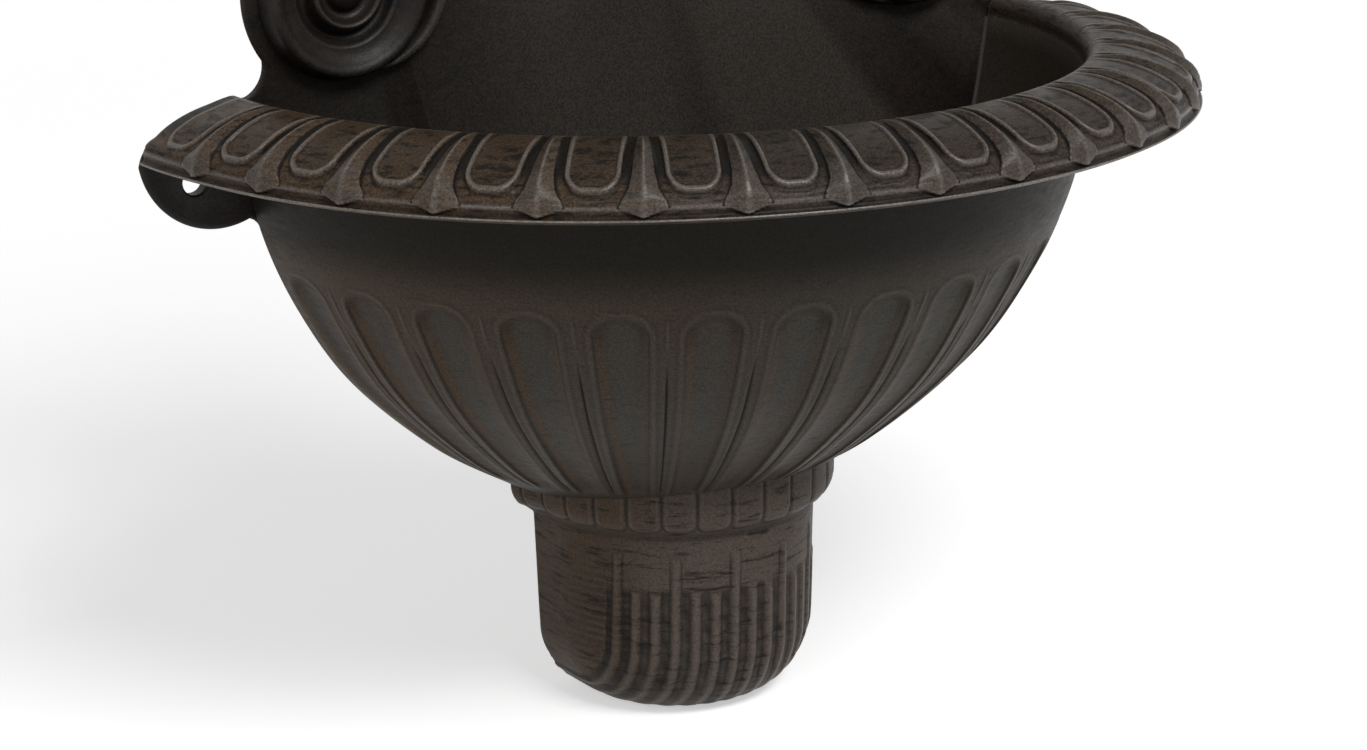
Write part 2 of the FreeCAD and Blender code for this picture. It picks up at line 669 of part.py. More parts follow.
def tap_body():
    """Threaded tail, inlet barrel, valve chamber and down-turned spout in one casting."""
    boss_y = -(PLATE_T + BOSS_H)
    tail = cyl(TAIL_R, TAIL_OUT - boss_y, tap_point(TAIL_OUT, 0), FRONT)
    shank = cyl(SHANK_R, -STEP_IN - boss_y, tap_point(-STEP_IN, 0), FRONT)
    barrel = cyl(BODY_R, boss_y - HEAD_Y, tap_point(boss_y, 0), FRONT)
    shoulder = cyl(17.0, 5.0, tap_point(boss_y - ROSE_T, 0), FRONT)
    moulding = cyl(14.0, 4.0, tap_point(-48.0, 0), FRONT)
    chamber = cyl(CHAMBER_R, 33.0, tap_point(HEAD_Y, -15.0), UP)
    flare = cyl(CHAMBER_R + 2.0, 4.0, tap_point(HEAD_Y, 14.0), UP)
    base = Part.makeSphere(CHAMBER_R, tap_point(HEAD_Y, -12.0))
    lip = cyl(SPOUT_R + 2.5, 5.0, tap_point(SPOUT_Y - SPOUT_BEND, 5.0 - SPOUT_BEND - SPOUT_DROP), UP)
    body = fuse([tail, shank, barrel, shoulder, moulding, chamber, flare, base, spout(SPOUT_R), lip])
    link = V(0, HEAD_Y + 52.0, -9.0)
    cuts = [cyl(INLET_R, TAIL_OUT + 54.0, tap_point(TAIL_OUT, 0), FRONT),
            cyl(5.0, link.Length, tap_point(-52.0, 0), link),
            cyl(SEAT_R, 12.0, tap_point(HEAD_Y, SEAT_Z - 12.0), UP),
            cyl(CHAMBER_BORE, 40.0, tap_point(HEAD_Y, SEAT_Z), UP), spout(SPOUT_BORE)]
    for tool in cuts:
        body = body.cut(tool)
    return body


def tap_parts():
    """The tap and everything that its head holds."""
    boss_y = -(PLATE_T + BOSS_H)
    save("tap_body", [tap_body()])
    rose = cyl(30.0, 2.5, tap_point(boss_y, 0), FRONT)
    rose = rose.fuse(Part.makeCone(29.0, 18.5, ROSE_T - 2.5, tap_point(boss_y - 2.5, 0), FRONT))
    save("tap_rosette", [rose.cut(cyl(BODY_R + 0.2, ROSE_T + 2.0, tap_point(boss_y, 0), FRONT))])
    web_y = -BOSS_RECESS
    save("tap_fibre_washer", [ring(15.0, SHANK_R + 0.1, 1.5, tap_point(web_y + 1.5, 0), FRONT)])
    lock = hexagon(30.0, 6.0, tap_point(web_y + 7.5, 0), FRONT)
    save("tap_backnut", [lock.cut(cyl(SHANK_R + 0.05, 6.0, tap_point(web_y + 7.5, 0), FRONT))])

    def head(z):
        return tap_point(HEAD_Y, z)
    save("bonnet_washer", [ring(14.0, CHAMBER_BORE + 0.2, 1.2, head(18.0), UP)])
    bonnet = fuse([cyl(CHAMBER_BORE - 0.1, 7.0, head(12.2), UP), cyl(15.0, 2.5, head(19.2), UP),
                   hexagon(26.0, 8.0, head(21.7), UP), cyl(10.5, 10.0, head(29.7), UP)])
    bonnet = bonnet.cut(cyl(SPINDLE_R + RUNNING, 40.0, head(10.0), UP))
    bonnet = bonnet.cut(cyl(7.5, 6.0, head(33.7), UP))
    bonnet = bonnet.cut(cyl(8.2, 10.0, head(12.0), UP))
    save("tap_bonnet", [bonnet])
    save("gland_packing", [ring(7.4, SPINDLE_R + RUNNING, 4.0, head(33.8), UP)])
    gland = fuse([ring(7.4, SPINDLE_R + RUNNING, 1.9, head(37.8), UP),
                  ring(10.0, SPINDLE_R + RUNNING, 1.5, head(39.7), UP),
                  hexagon(17.0, 5.0, head(41.2), UP).cut(cyl(SPINDLE_R + RUNNING, 6.0, head(41.0), UP))])
    save("gland_nut", [gland])
    spindle = fuse([cyl(6.0, 8.0, head(5.0), UP), cyl(7.9, 4.0, head(12.4), UP),
                    cyl(SPINDLE_R, 44.0, head(12.4), UP), cyl(3.6, 9.0, head(56.0), UP)])
    spindle = spindle.cut(cyl(3.1, 15.0, head(4.0), UP)).cut(cyl(1.6, 14.0, head(52.0), UP))
    save("tap_spindle", [spindle])
    save("tap_jumper", [fuse([cyl(9.5, 2.5, head(SEAT_Z + 3.2), UP), cyl(2.95, 15.0, head(SEAT_Z + 3.2), UP),
                              cyl(2.0, 3.0, head(SEAT_Z + 0.3), UP)])])
    save("jumper_washer", [ring(9.0, 2.05, 2.9, head(SEAT_Z + 0.3), UP)])
    save("tap_handle", [handle(head)])
    cap = fuse([cyl(5.4, 2.0, head(65.1), UP), cyl(1.55, 12.0, head(54.0), UP)])
    cap = cap.fuse(Part.makeSphere(9.0, head(59.9)).common(cyl(5.0, 6.0, head(66.0), UP))).removeSplitter()
    save("handle_screw", [cap])


def handle(head):
    """A cross handle with four arms that end in balls."""
    pieces = [Part.makeCone(6.5, 9.5, 6.0, head(50.5), UP), cyl(9.5, 5.0, head(56.5), UP),
              Part.makeCone(9.5, 6.0, 3.5, head(61.5), UP)]
    for k in range(4):
        a = math.radians(45.0 + 90.0 * k)
        way = V(math.cos(a), math.sin(a), 0)
        pieces.append(Part.makeCone(4.4, 3.3, HANDLE_ARM - 4.0, head(59.0), way))
        pieces.append(Part.makeSphere(5.6, head(59.0) + way * HANDLE_ARM))
    hub = fuse(pieces)
    hub = hub.cut(cyl(SPINDLE_R + 0.05, 5.9, head(50.5), UP))
    return hub.cut(cyl(3.65, 8.7, head(56.4), UP)).cut(cyl(1.7, 20.0, head(56.0), UP))


def main():
    bowl = basin()
    save("basin", [bowl])
    save("basin_gasket", gasket(bowl))
    save("back_plate", [back_plate()])
    save("corbel", [corbel()])
    spots = [(RIM_SCREW, M6, WEB_T), (HIGH_SCREW, M8, LUG_T), (LOW_SCREW, M8, LUG_T)]
    for node, shapes in zip(("basin_screws", "basin_washers", "basin_nuts"), fastened(spots, BASIN_Y)):
        save(node, shapes)
    held = fastened([(CORBEL_SCREW, M8, LUG_T)], -PLATE_T)
    for node, shapes in zip(("corbel_screws", "corbel_washers", "corbel_nuts"), held):
        save(node, shapes)
    drain_parts()
    tap_parts()


main()
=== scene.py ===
import math
import bmesh
import bpy
import numpy as np
from mathutils import Matrix, Vector

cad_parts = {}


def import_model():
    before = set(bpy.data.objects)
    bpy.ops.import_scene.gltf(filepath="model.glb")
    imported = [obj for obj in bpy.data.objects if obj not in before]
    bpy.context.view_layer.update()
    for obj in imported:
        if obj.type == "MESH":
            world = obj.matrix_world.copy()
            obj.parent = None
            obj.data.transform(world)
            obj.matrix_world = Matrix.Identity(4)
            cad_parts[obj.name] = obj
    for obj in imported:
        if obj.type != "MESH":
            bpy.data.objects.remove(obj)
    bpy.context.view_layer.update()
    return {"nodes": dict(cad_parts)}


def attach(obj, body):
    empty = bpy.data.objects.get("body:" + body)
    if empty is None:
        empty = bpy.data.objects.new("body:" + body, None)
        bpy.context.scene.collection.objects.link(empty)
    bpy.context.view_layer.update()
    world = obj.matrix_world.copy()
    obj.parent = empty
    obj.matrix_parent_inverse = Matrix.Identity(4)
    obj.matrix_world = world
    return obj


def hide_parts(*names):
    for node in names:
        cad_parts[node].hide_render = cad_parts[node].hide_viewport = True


# Lengths are millimetres until a mesh is made. Heights in sections count from the rim's
# lip, which is LIP above the frame's origin. The axis of the basin is upright and lies in
# the plane of its rear edge, BASIN_Y.
MM = 0.001
ARC_STEP = 2.0

# Camera, in metres and degrees
CAMERA_AT = (-0.88002, -1.38644, 0.34412)
CAMERA_AZIMUTH = 33.19164
CAMERA_ELEVATION = 16.28899
CAMERA_ROLL = -0.78476
CAMERA_LENS = 88.40

# Back plate
PLATE_T = 7.0
LIP = 12.5
EAR_HOLE = (243.5, -LIP)
EAR_HOLE_R = 6.0
UPPER_HOLE = (40.0, 335.0)
UPPER_HOLE_R = 4.5
EAR_CENTRE = (231.0, 4.2)
EAR_R = 40.4
PLATE_SHY = 1.0
CORBEL_SHY = 2.3
PLATE_ROUND = 3.0
PLATE_BEVEL = 4.8
FOOT_Z = -302.0

# Scrolls, panel, shell and tap boss
LOW_SCROLL = (165.0, 69.0)
LOW_LOBE_R = 51.0
TOP_SCROLL = (101.0, 300.0)
TOP_LOBE_R = 29.0
CREST = (0.0, 362.0)
CREST_R = 78.0
PANEL_HALF = 66.0
PANEL_LOW = 96.0
PANEL_HIGH = 226.0
SHELL_Z = 345.0
SHELL_LEN = 74.0
SHELL_RIBS = 9
TAP_Z = 165.0
BOSS_R = 36.0
BOSS_H = 9.0
BOSS_RECESS_R = 20.0
SHANK_R = 11.5
PIPE_HOLE_R = 18.0
PIPE_Z = -249.0

# Section of the ridges: places across and up, as shares of their half width and height
ROUND_RIDGE = [(-1.0, 0.0), (-0.92, 0.38), (-0.7, 0.72), (-0.38, 0.94), (0.0, 1.0), (0.38, 0.94),
               (0.7, 0.72), (0.92, 0.38), (1.0, 0.0)]
RIDGE_SINK = 1.0

# Basin
BASIN_Y = -8.5
GASKET_T = 1.5
DOME_R = 222.0
DOME_W = 48.0
DOME_H = 26.3
DOME_POWER = 1.85
RIM_T = 5.5
BOWL_OUT = [(221.6, 20.8), (220.0, 0.0), (212.2, -40.5), (195.0, -81.0), (168.0, -121.5),
            (124.2, -162.0), (86.0, -186.0)]
BOWL_IN = [(76.0, -178.0), (114.5, -162.0), (161.6, -121.5), (189.3, -81.0), (206.6, -40.5),
           (214.6, 0.0), (216.3, 14.0)]
FLOOR_R = 80.0
FLOOR_TOP = -178.0
FLOOR_LOW = -186.0
RIM_WIDEN = 3.6
WIDEN_AT = 48.0
WIDEN_SPREAD = 40.0
END_WIDEN = 1.2
END_SINK = 1.5
NOSE_R = 268.1
NOSE_Z = 5.0
LIP_R = 270.2
TONGUES = 19
TONGUE_HALF = 10.8
TONGUE_END = 263.6
TONGUE_ROUND = 7.4
TONGUE_TURN = math.radians(-0.5)
BEAD_HALF = 1.25
BEAD_H = 1.7
FIELD_H = 0.7
DART_R = [223.5, 241.0, 257.0, 263.2, 265.6, 267.6]
DART_HALF = [2.0, 3.6, 4.9, 6.2, 8.0, 10.3]
DART_CREST = [2.0, 3.1, 4.0, 4.1, 3.5, 2.4]
DART_EDGE = [0.4, 0.8, 1.1, 1.2, 1.0, 0.6]
DART_TIP_Z = 1.8
DART_CORNER_Z = 5.8
FLUTES = 15
FLUTE_TOP_Z = -59.4
FLUTE_ROUND = 11.5
FLUTE_DEPTH = 2.2
WASTE_Y = BASIN_Y - 44.0
WASTE_HOLE_R = 20.0
RIM_SCREW = (238.0, 9.0)
HIGH_SCREW = (177.0, -75.0)
LOW_SCREW = (108.0, -150.0)
CORBEL_SCREW = (52.0, -240.0)
SCREW_R = 4.3
SCREW_HEAD_R = 7.7
RIM_SCREW_R = 3.3
RIM_SCREW_HEAD_R = 5.9
LUG_T = 12.0
LUG_REACH = 5.0

# Corbel: a straight run from the plate, then a half round front
CORBEL_RUN = 25.0
COLLAR_R = 80.8
CORBEL_WALL = [(COLLAR_R, -186.0), (80.6, -190.2), (79.6, -193.6), (77.6, -196.8), (74.8, -199.6),
               (71.9, -201.9), (70.3, -203.8), (69.9, -206.5), (69.2, -227.0), (68.0, -262.0),
               (66.8, -271.0), (64.6, -278.0), (61.6, -285.0), (57.0, -291.5), (51.8, -296.2),
               (46.0, -299.5), (40.0, -301.4), (34.0, FOOT_Z), (14.0, FOOT_Z)]
CORBEL_T = 6.0
TURN_COLUMNS = 361
RUN_COLUMNS = 26
COLLAR_ROWS = 12
REED_R = 68.0
REEDS = 15
REED_STEP = 8.5
REED_HALF = 2.4
REED_H = 1.7
TALL_REED = -210.0
SHORT_REED = -230.0
LEAF_STEP = 17.8
LEAF_ROUND = 5.0
LEAF_LOW_Z = -199.5

# Stand and light
FLOOR_Z = LIP + FOOT_Z
FLOOR_REACH = 30000.0
FLOOR_WHITE = (0.80, 0.80, 0.80)
FLOOR_LIFT = (0.51, 0.66)
FLOOR_NEAR = 0.75
FLOOR_FAR = 2.2
DAYLIGHT = 0.24

# Lamps: name, place, size and power
LAMPS = [("key", (0.1, -2.36, 2.45), (1.8, 1.0), 94.0),
         ("side", (-2.5, -1.3, 1.5), (0.7, 0.9), 14.0)]
LAMPS_AIM = (0.0, -0.1, 0.0)

# Cast iron: its colour where it is plain, browner, sooty and in painted shade, and worn and in painted
# highlights, the scale and stretch of its streaks, where soot starts in them, roughness, gloss where unworn
# and worn, and speckle
IRONS = {
    "rim": ((0.031, 0.0245, 0.0195), (0.036, 0.0255, 0.0185), (0.006, 0.0052, 0.0043),
            (0.125, 0.106, 0.090), 160.0, (0.6, 0.6, 3.5), 0.50, 0.32, (0.07, 0.60), 0.50),
    "bowl": ((0.042, 0.036, 0.0295), (0.044, 0.033, 0.0245), (0.0105, 0.0092, 0.0068),
             (0.060, 0.053, 0.047), 160.0, (0.6, 0.6, 3.5), 0.61, 0.40, (0.08, 0.20), 0.32),
    "corbel": ((0.078, 0.064, 0.055), (0.080, 0.061, 0.047), (0.014, 0.0125, 0.0108),
               (0.090, 0.072, 0.060), 90.0, (0.5, 0.5, 4.0), 0.535, 0.40, (0.07, 0.20), 0.30),
    "plate": ((0.010, 0.008, 0.0068), (0.013, 0.009, 0.0068), (0.005, 0.0048, 0.0043),
              (0.050, 0.044, 0.038), 90.0, (0.8, 0.8, 1.3), 0.50, 0.34, (0.15, 0.15), 0.40)}
# Rust brown, also used for painted warm light on the left side
RUST_AND_WARM_LIGHT = (0.060, 0.036, 0.019)
GREY = (0.042, 0.0415, 0.036)

# What the other finishes are on
FINISH_NODES = {
    "brass": ["drain_flange", "drain_locknut", "drain_pipe", "drain_cap_nut", "drain_plug", "plug_ring",
              "tap_body", "tap_rosette", "tap_backnut", "tap_bonnet", "gland_nut", "tap_spindle",
              "tap_jumper", "tap_handle", "handle_screw"],
    "zinc": ["basin_screws", "basin_washers", "basin_nuts", "corbel_screws", "corbel_washers",
             "corbel_nuts"],
    "rubber": ["drain_upper_seal", "drain_lower_seal", "bonnet_washer", "gland_packing", "jumper_washer"],
    "fibre": ["tap_fibre_washer"]}

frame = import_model()


# Curves and profiles

def smooth_path(points, step):
    """Points about one step apart along a smooth curve through the given points."""
    p = np.array([points[0]] + list(points) + [points[-1]], float)
    out = []
    for a, b, c, d in zip(p, p[1:], p[2:], p[3:]):
        count = max(2, int(np.linalg.norm(c - b) / step) + 1)
        t = np.linspace(0.0, 1.0, count, endpoint=False)[:, None]
        bend = 2.0 * b + (c - a) * t + (2.0 * a - 5.0 * b + 4.0 * c - d) * t ** 2
        out.append(0.5 * (bend + (3.0 * b - a - 3.0 * c + d) * t ** 3))
    return np.vstack(out + [p[-1:]])


def spaced(path, step):
    """The same path, with its points evenly spaced."""
    path = np.array(path, float)
    run = np.concatenate([[0.0], np.cumsum(np.hypot(*np.diff(path, axis=0).T))])
    at = np.linspace(0.0, run[-1], max(2, int(round(run[-1] / step)) + 1))
    return np.stack([np.interp(at, run, path[:, 0]), np.interp(at, run, path[:, 1])], 1)


def on_circle(centre, radius, degrees):
    """The point, or the points in rows, at such angles on a circle."""
    a = np.radians(degrees)
    return np.stack([centre[0] + radius * np.cos(a), centre[1] + radius * np.sin(a)], -1)


def arc_points(centre, radius, start, end):
    count = max(3, int(abs(math.radians(end - start)) * radius / ARC_STEP) + 1)
    return on_circle(centre, radius, np.linspace(start, end, count))


def through(a, b, c):
    """Points of the circle's arc that starts at a, passes b and ends at c."""
    a, b, c = complex(*a), complex(*b), complex(*c)
    w = (c - a) / (b - a)
    centre = a + (b - a) * (w - abs(w) ** 2) / (2j * w.imag)
    start, middle, end = np.angle([a - centre, b - centre, c - centre], deg=True)
    turn = (end - start) % 360.0
    if (middle - start) % 360.0 > turn:
        turn -= 360.0
    return arc_points((centre.real, centre.imag), abs(a - centre), start, start + turn)


def bump(x):
    """1 at 0, falling smoothly to 0 at -1 and 1."""
    return np.where(np.abs(x) < 1.0, 0.5 + 0.5 * np.cos(np.pi * np.clip(x, -1.0, 1.0)), 0.0)


def half_round(x):
    """A half circle's height over -1 to 1."""
    return np.sqrt(np.clip(1.0 - np.asarray(x) ** 2, 0.0, 1.0))


def ramp(x, low, high):
    """0 up to low, 1 from high, smooth between."""
    t = np.clip((x - low) / (high - low), 0.0, 1.0)
    return t * t * (3.0 - 2.0 * t)


def dome(width, height, low_r, high_r, step):
    """The rim's domed section from its crest outwards."""
    a = np.linspace(np.pi / 2.0, 0.0, 400)
    r = DOME_R + width * np.clip(np.cos(a), 0.0, 1.0) ** (2.0 / DOME_POWER)
    z = height * np.clip(np.sin(a), 0.0, 1.0) ** (2.0 / DOME_POWER)
    keep = (r >= low_r) & (r <= high_r)
    return spaced(np.stack([r[keep], z[keep]], 1), step)


def joined(*paths):
    """Paths one after another, without doubled points."""
    out = [np.array(paths[0], float)]
    for path in paths[1:]:
        path = np.array(path, float)
        out.append(path[1:] if np.hypot(*(path[0] - out[-1][-1])) < 0.05 else path)
    return np.vstack(out)


def leftwards(t):
    """Unit directions to the left of a list of directions."""
    n = np.stack([-t[:, 1], t[:, 0]], 1)
    return n / np.maximum(np.linalg.norm(n, axis=1), 1e-9)[:, None]


def normals(path):
    """Unit normals on the left of each point of a path."""
    return leftwards(np.gradient(path, axis=0))


# Meshes

def placed(name, data):
    """A new object in the scene."""
    obj = bpy.data.objects.new(name, data)
    bpy.context.scene.collection.objects.link(obj)
    return obj


def add_mesh(name, points, faces, smooth=True, sharp=42.0):
    """One mesh object from points in millimetres."""
    mesh = bpy.data.meshes.new(name)
    mesh.from_pydata((np.asarray(points, float) * MM).tolist(), [], faces)
    mesh.validate()
    mesh.polygons.foreach_set("use_smooth", [smooth] * len(mesh.polygons))
    mesh.update()
    if smooth:
        mesh.set_sharp_from_angle(angle=math.radians(sharp))
    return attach(placed(name, mesh), "root")


def grid_faces(rows, cols, wrap_rows=False, wrap_cols=False):
    """Quads of a grid of points stored row by row."""
    i = np.arange(rows if wrap_rows else rows - 1)
    j = np.arange(cols if wrap_cols else cols - 1)
    i, j = np.meshgrid(i, j, indexing="ij")
    i2, j2 = (i + 1) % rows, (j + 1) % cols
    quads = np.stack([i * cols + j, i * cols + j2, i2 * cols + j2, i2 * cols + j], -1)
    return quads.reshape(-1, 4).tolist()


def outwards(obj):
    """Turns all faces of a closed mesh to look outwards."""
    bm = bmesh.new()
    bm.from_mesh(obj.data)
    bmesh.ops.recalc_face_normals(bm, faces=bm.faces)
    bm.to_mesh(obj.data)
    bm.free()
    return obj


def closed_grid(name, points, sharp=42.0, marks=None):
    """A closed body from rows that loop round a section, with both ends capped."""
    rows, cols = points.shape[:2]
    faces = grid_faces(rows, cols, wrap_rows=True)
    faces.append([i * cols for i in range(rows)])
    faces.append([i * cols + cols - 1 for i in range(rows)][::-1])
    obj = outwards(add_mesh(name, points.reshape(-1, 3), faces, sharp=sharp))
    for key, values in (marks or {}).items():
        layer = obj.data.attributes.new(key, "FLOAT", "POINT")
        layer.data.foreach_set("value", np.broadcast_to(values, (rows, cols)).astype(np.float32).ravel())
    return obj


def round_the_axis(path, angles, rise, ways, wider=0.0):
    """Section points turned about the basin's axis: rows by section, columns by angle."""
    section = path[:, None, :] + rise[..., None] * ways[:, None, :]
    r, z = section[..., 0] + wider, section[..., 1]
    return np.stack([r * np.sin(angles), BASIN_Y - r * np.cos(angles), LIP + z], -1)


def ring_at(outline, y):
    """The points of an outline in X and height, at a depth."""
    outline = np.asarray(outline, float)
    return np.stack([outline[:, 0], np.full(len(outline), y), LIP + outline[:, 1]], 1)


def slab(name, one, other):
    """A flat-faced body between two equal outlines."""
    count = len(one)
    faces = [list(range(count)), list(range(2 * count - 1, count - 1, -1))]
    faces += [[i, i + count, (i + 1) % count + count, (i + 1) % count] for i in range(count)]
    return outwards(add_mesh(name, np.vstack([one, other]), faces, smooth=False))


def ringed(name, rings, sharp, hollow=False):
    """A closed body from rings of equal length. Its ends are filled, or meet where it is hollow."""
    rows, cols = rings.shape[:2]
    faces = grid_faces(rows, cols, wrap_rows=hollow, wrap_cols=True)
    if not hollow:
        faces.append(list(range(cols)))
        faces.append(list(range((rows - 1) * cols, rows * cols))[::-1])
    return outwards(add_mesh(name, rings.reshape(-1, 3), faces, sharp=sharp))


def lathe(name, section, at, sides, axis="Y", sharp=35.0, hollow=False):
    """A closed turned body from (radius, height) points, about an axis through a point."""
    section = np.array(section, float)
    a = np.linspace(0.0, 2.0 * np.pi, sides, endpoint=False)
    r, h = section[:, :1], section[:, 1:]
    across, up, along = r * np.cos(a), r * np.sin(a), h + 0.0 * a
    turned = [across, up, along] if axis == "Z" else [across, -along, up]
    return ringed(name, np.stack(turned, -1) + np.array(at, float), sharp, hollow)


def cut_away(obj, cutter):
    """Takes one closed mesh out of another."""
    change = obj.modifiers.new("cut", "BOOLEAN")
    change.operation = "DIFFERENCE"
    change.solver = "EXACT"
    change.object = cutter
    settled(obj)
    bpy.data.objects.remove(cutter)


def drill(obj, section, x, y, z, sides):
    """Cuts a turned hole into a piece, along Y."""
    cut_away(obj, lathe("hole", section, (x, y, LIP + z), sides))


def settled(obj):
    """Applies what modifiers an object has."""
    graph = bpy.context.evaluated_depsgraph_get()
    made = bpy.data.meshes.new_from_object(obj.evaluated_get(graph))
    obj.modifiers.clear()
    old = obj.data
    obj.data = made
    bpy.data.meshes.remove(old)


def flat_faces(obj):
    """Keeps the wide faces that look straight to the front or the back evenly shaded."""
    for face in obj.data.polygons:
        if abs(face.normal.y) > 0.9995:
            face.use_smooth = False


def merged(name, objects):
    """Joins meshes into one object."""
    bm = bmesh.new()
    for obj in objects:
        bm.from_mesh(obj.data)
        bpy.data.objects.remove(obj)
    mesh = bpy.data.meshes.new(name)
    bm.to_mesh(mesh)
    bm.free()
    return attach(placed(name, mesh), "root")


def pair(name, make):
    """The right-hand piece and its mirror image, as one mesh."""
    return merged(name, [outwards(make(side)) for side in (1.0, -1.0)])


# Basin

def rim_section():
    """The rim's closed section, from the inner wall over the dome to the lip and back."""
    roll = smooth_path([(216.3, 14.0), (216.9, 19.0), (219.5, 23.8), (222.6, 26.0), (226.0, 26.2)], 2.4)
    inner = dome(DOME_W, DOME_H, 226.2, 250.0, 1.8)
    outer = dome(DOME_W, DOME_H, 250.0, 266.8, 0.66)
    nose = smooth_path([(267.1, 7.2), (267.8, 6.0), (NOSE_R, NOSE_Z), (268.1, 4.2), (268.0, 3.3),
                        (268.0, 2.4), (268.4, 1.6), (269.1, 1.0), (270.0, 0.7), (LIP_R, 0.3),
                        (270.0, -0.1), (269.0, -0.5), (267.0, -1.6), (264.5, -2.4)], 0.7)
    under = dome(DOME_W - RIM_T, DOME_H - RIM_T, 222.0, 264.4, 9.0)[::-1]
    return joined(roll, inner, outer, nose, under, [(221.6, 20.8)])


def rim_ways(path):
    """Directions of the relief: square to the dome, and straight out below the nose."""
    ways = normals(path)
    low = path[:, 1] < NOSE_Z + 0.6
    ways[low] = [1.0, 0.0]
    return ways


def in_spans(knots, counts):
    """Values from the first knot to the last, with a count of steps between each two."""
    places = [np.linspace(low, high, n, endpoint=False) for low, high, n in zip(knots, knots[1:], counts)]
    return np.concatenate(places + [knots[-1:]])


def repeated(half, count):
    """Angles over the front's half circle: half a pattern, mirrored and repeated."""
    pitch = math.pi / count
    whole = np.concatenate([-half[::-1], half[1:]])[:-1]
    centres = (np.arange(count) - (count - 1) / 2.0) * pitch
    return np.concatenate([whole + c for c in centres] + [[math.pi / 2.0]])


def sideways(angles, count, r):
    """Distances from the middle line of the nearest of a count of equal parts."""
    pitch = math.pi / count
    return ((angles / pitch + 0.5) % 1.0 - 0.5) * pitch * r


def half_steps(row_r):
    """Sideways places of the columns over half a tongue and half a dart, for one radius."""
    half_pitch = math.pi / TONGUES / 2.0 * row_r
    edge = half_pitch - np.interp(row_r, DART_R, DART_HALF)
    b = min(TONGUE_HALF + BEAD_HALF + 0.2, edge - 0.9)
    a = b - 2.0 * BEAD_HALF - 0.5
    knots = [0.0, TONGUE_HALF - TONGUE_ROUND, a, b, edge - 0.6, edge + 0.3, half_pitch]
    return in_spans(knots, [2, 6, 9, 2, 3, 5])


def rim_columns(path):
    """Angles of the rim's columns, row by row, so that edges of the ornament follow them."""
    return np.array([repeated(half_steps(r) / r, TONGUES) for r in np.clip(path[:, 0], 222.0, 270.0)])


def beyond(across, up, radius):
    """Distance outwards from two edges that meet in a rounded corner."""
    outside = np.hypot(np.maximum(across, 0.0), np.maximum(up, 0.0))
    return outside + np.minimum(np.maximum(across, up), 0.0) - radius


def tongue_side(s, r):
    """Distance outwards from the centre line of a tongue's bead."""
    return beyond(np.abs(s) - TONGUE_HALF + TONGUE_ROUND, r - TONGUE_END + TONGUE_ROUND, TONGUE_ROUND)


def tongue_height(d):
    """A raised field inside a thin round bead, and a groove outside it."""
    field = FIELD_H * ramp(-d, 0.3, 1.3) - 0.15 * bump((d + 2.2) / 1.1)
    groove = -0.4 * bump((d - 2.2) / 1.4)
    return np.maximum(field, BEAD_H * half_round(d / BEAD_HALF)) + groove


def dart_place(q, r, z):
    """How far a point lies inside a dart, from its flank and from its low edge."""
    half = np.interp(r, DART_R, DART_HALF)
    share = np.clip(q / DART_HALF[-1], 0.0, 1.0) ** 1.3
    low = DART_TIP_Z + (DART_CORNER_Z - DART_TIP_Z) * share
    return half - q, z - low


def dart_height(q, r, z):
    """A spearhead of two facets: q is the distance from its centre line."""
    half = np.interp(r, DART_R, DART_HALF)
    crest = np.interp(r, DART_R, DART_CREST)
    edge = np.interp(r, DART_R, DART_EDGE)
    facet = edge + (crest - edge) * (1.0 - np.clip(q / half, 0.0, 1.0))
    bridge = np.where(z < NOSE_Z, np.maximum(0.0, NOSE_R - r), 0.0)
    flank, end = dart_place(q, r, z)
    return (facet + bridge) * ramp(flank, -0.6, 0.1) * ramp(end, -0.35, 0.1)


def rim_local(path, angles):
    """Each point's place across its tongue and across the dart beside it."""
    pitch = math.pi / TONGUES
    r, z = path[:, :1] + 0.0 * angles, path[:, 1:] + 0.0 * angles
    s = sideways(angles, TONGUES, r)
    q = np.maximum(0.0, pitch / 2.0 * r - np.abs(s))
    # No dart at the two ends by the wall
    q = np.where(np.abs(angles) > math.pi / 2.0 - pitch / 2.0 * 0.98, np.maximum(q, 12.0), q)
    return s, q, r, z


def rim_end(angles):
    """1 at the two ends of the rim by the wall, 0 on the rest, smooth between."""
    return ramp(np.abs(np.degrees(angles)), 77.0, 88.0)


def rim_wear_and_painted_light(s, q, r, z):
    """How worn or sooty the rim is, and its painted light and shade: beads and points bright, hollows
    between them black with soot and painted shade.
    """
    d = tongue_side(s, r)
    flank, end = dart_place(q, r, z)
    above = 1.0 - ramp(r, 266.2, 267.6)
    wear_and_painted_light = (0.38 * half_round(d / BEAD_HALF) - 0.25 * ramp(-d, 1.6, 4.0)) * above
    # Soot and painted shade: black in the hollows between the beads and the darts
    wear_and_painted_light = wear_and_painted_light - 1.0 * ramp(d, 0.9, 1.7) * (1.0 - ramp(r, 253.0, 262.0))
    # Painted shade: a dark line along each dart's flank
    wear_and_painted_light = wear_and_painted_light - 0.75 * bump((flank + 0.4) / 1.0) * (end > -0.5)
    # A painted highlight on the nose, partly wear, and painted shade in the cove below it
    wear_and_painted_light = wear_and_painted_light + 0.5 * bump((z - NOSE_Z - 0.3) / 1.4) - 0.55 * bump((z - 2.0) / 1.6)
    on_dart = (flank > 0.0) & (end > 0.0)
    # On the darts: painted sheen on the facets towards the flare, worn ridges, and a painted highlight
    # along the low edge
    facet = 0.04 + 0.14 * ramp(r, 252.0, 264.0)
    wear_and_painted_light = np.where(on_dart, facet + 0.25 * bump(q / 0.7) + 0.4 * bump(end / 0.7), wear_and_painted_light)
    # Painted highlight: a bright line along the lip
    return wear_and_painted_light + 0.9 * (r > LIP_R - 0.6) * (z > 0.0)


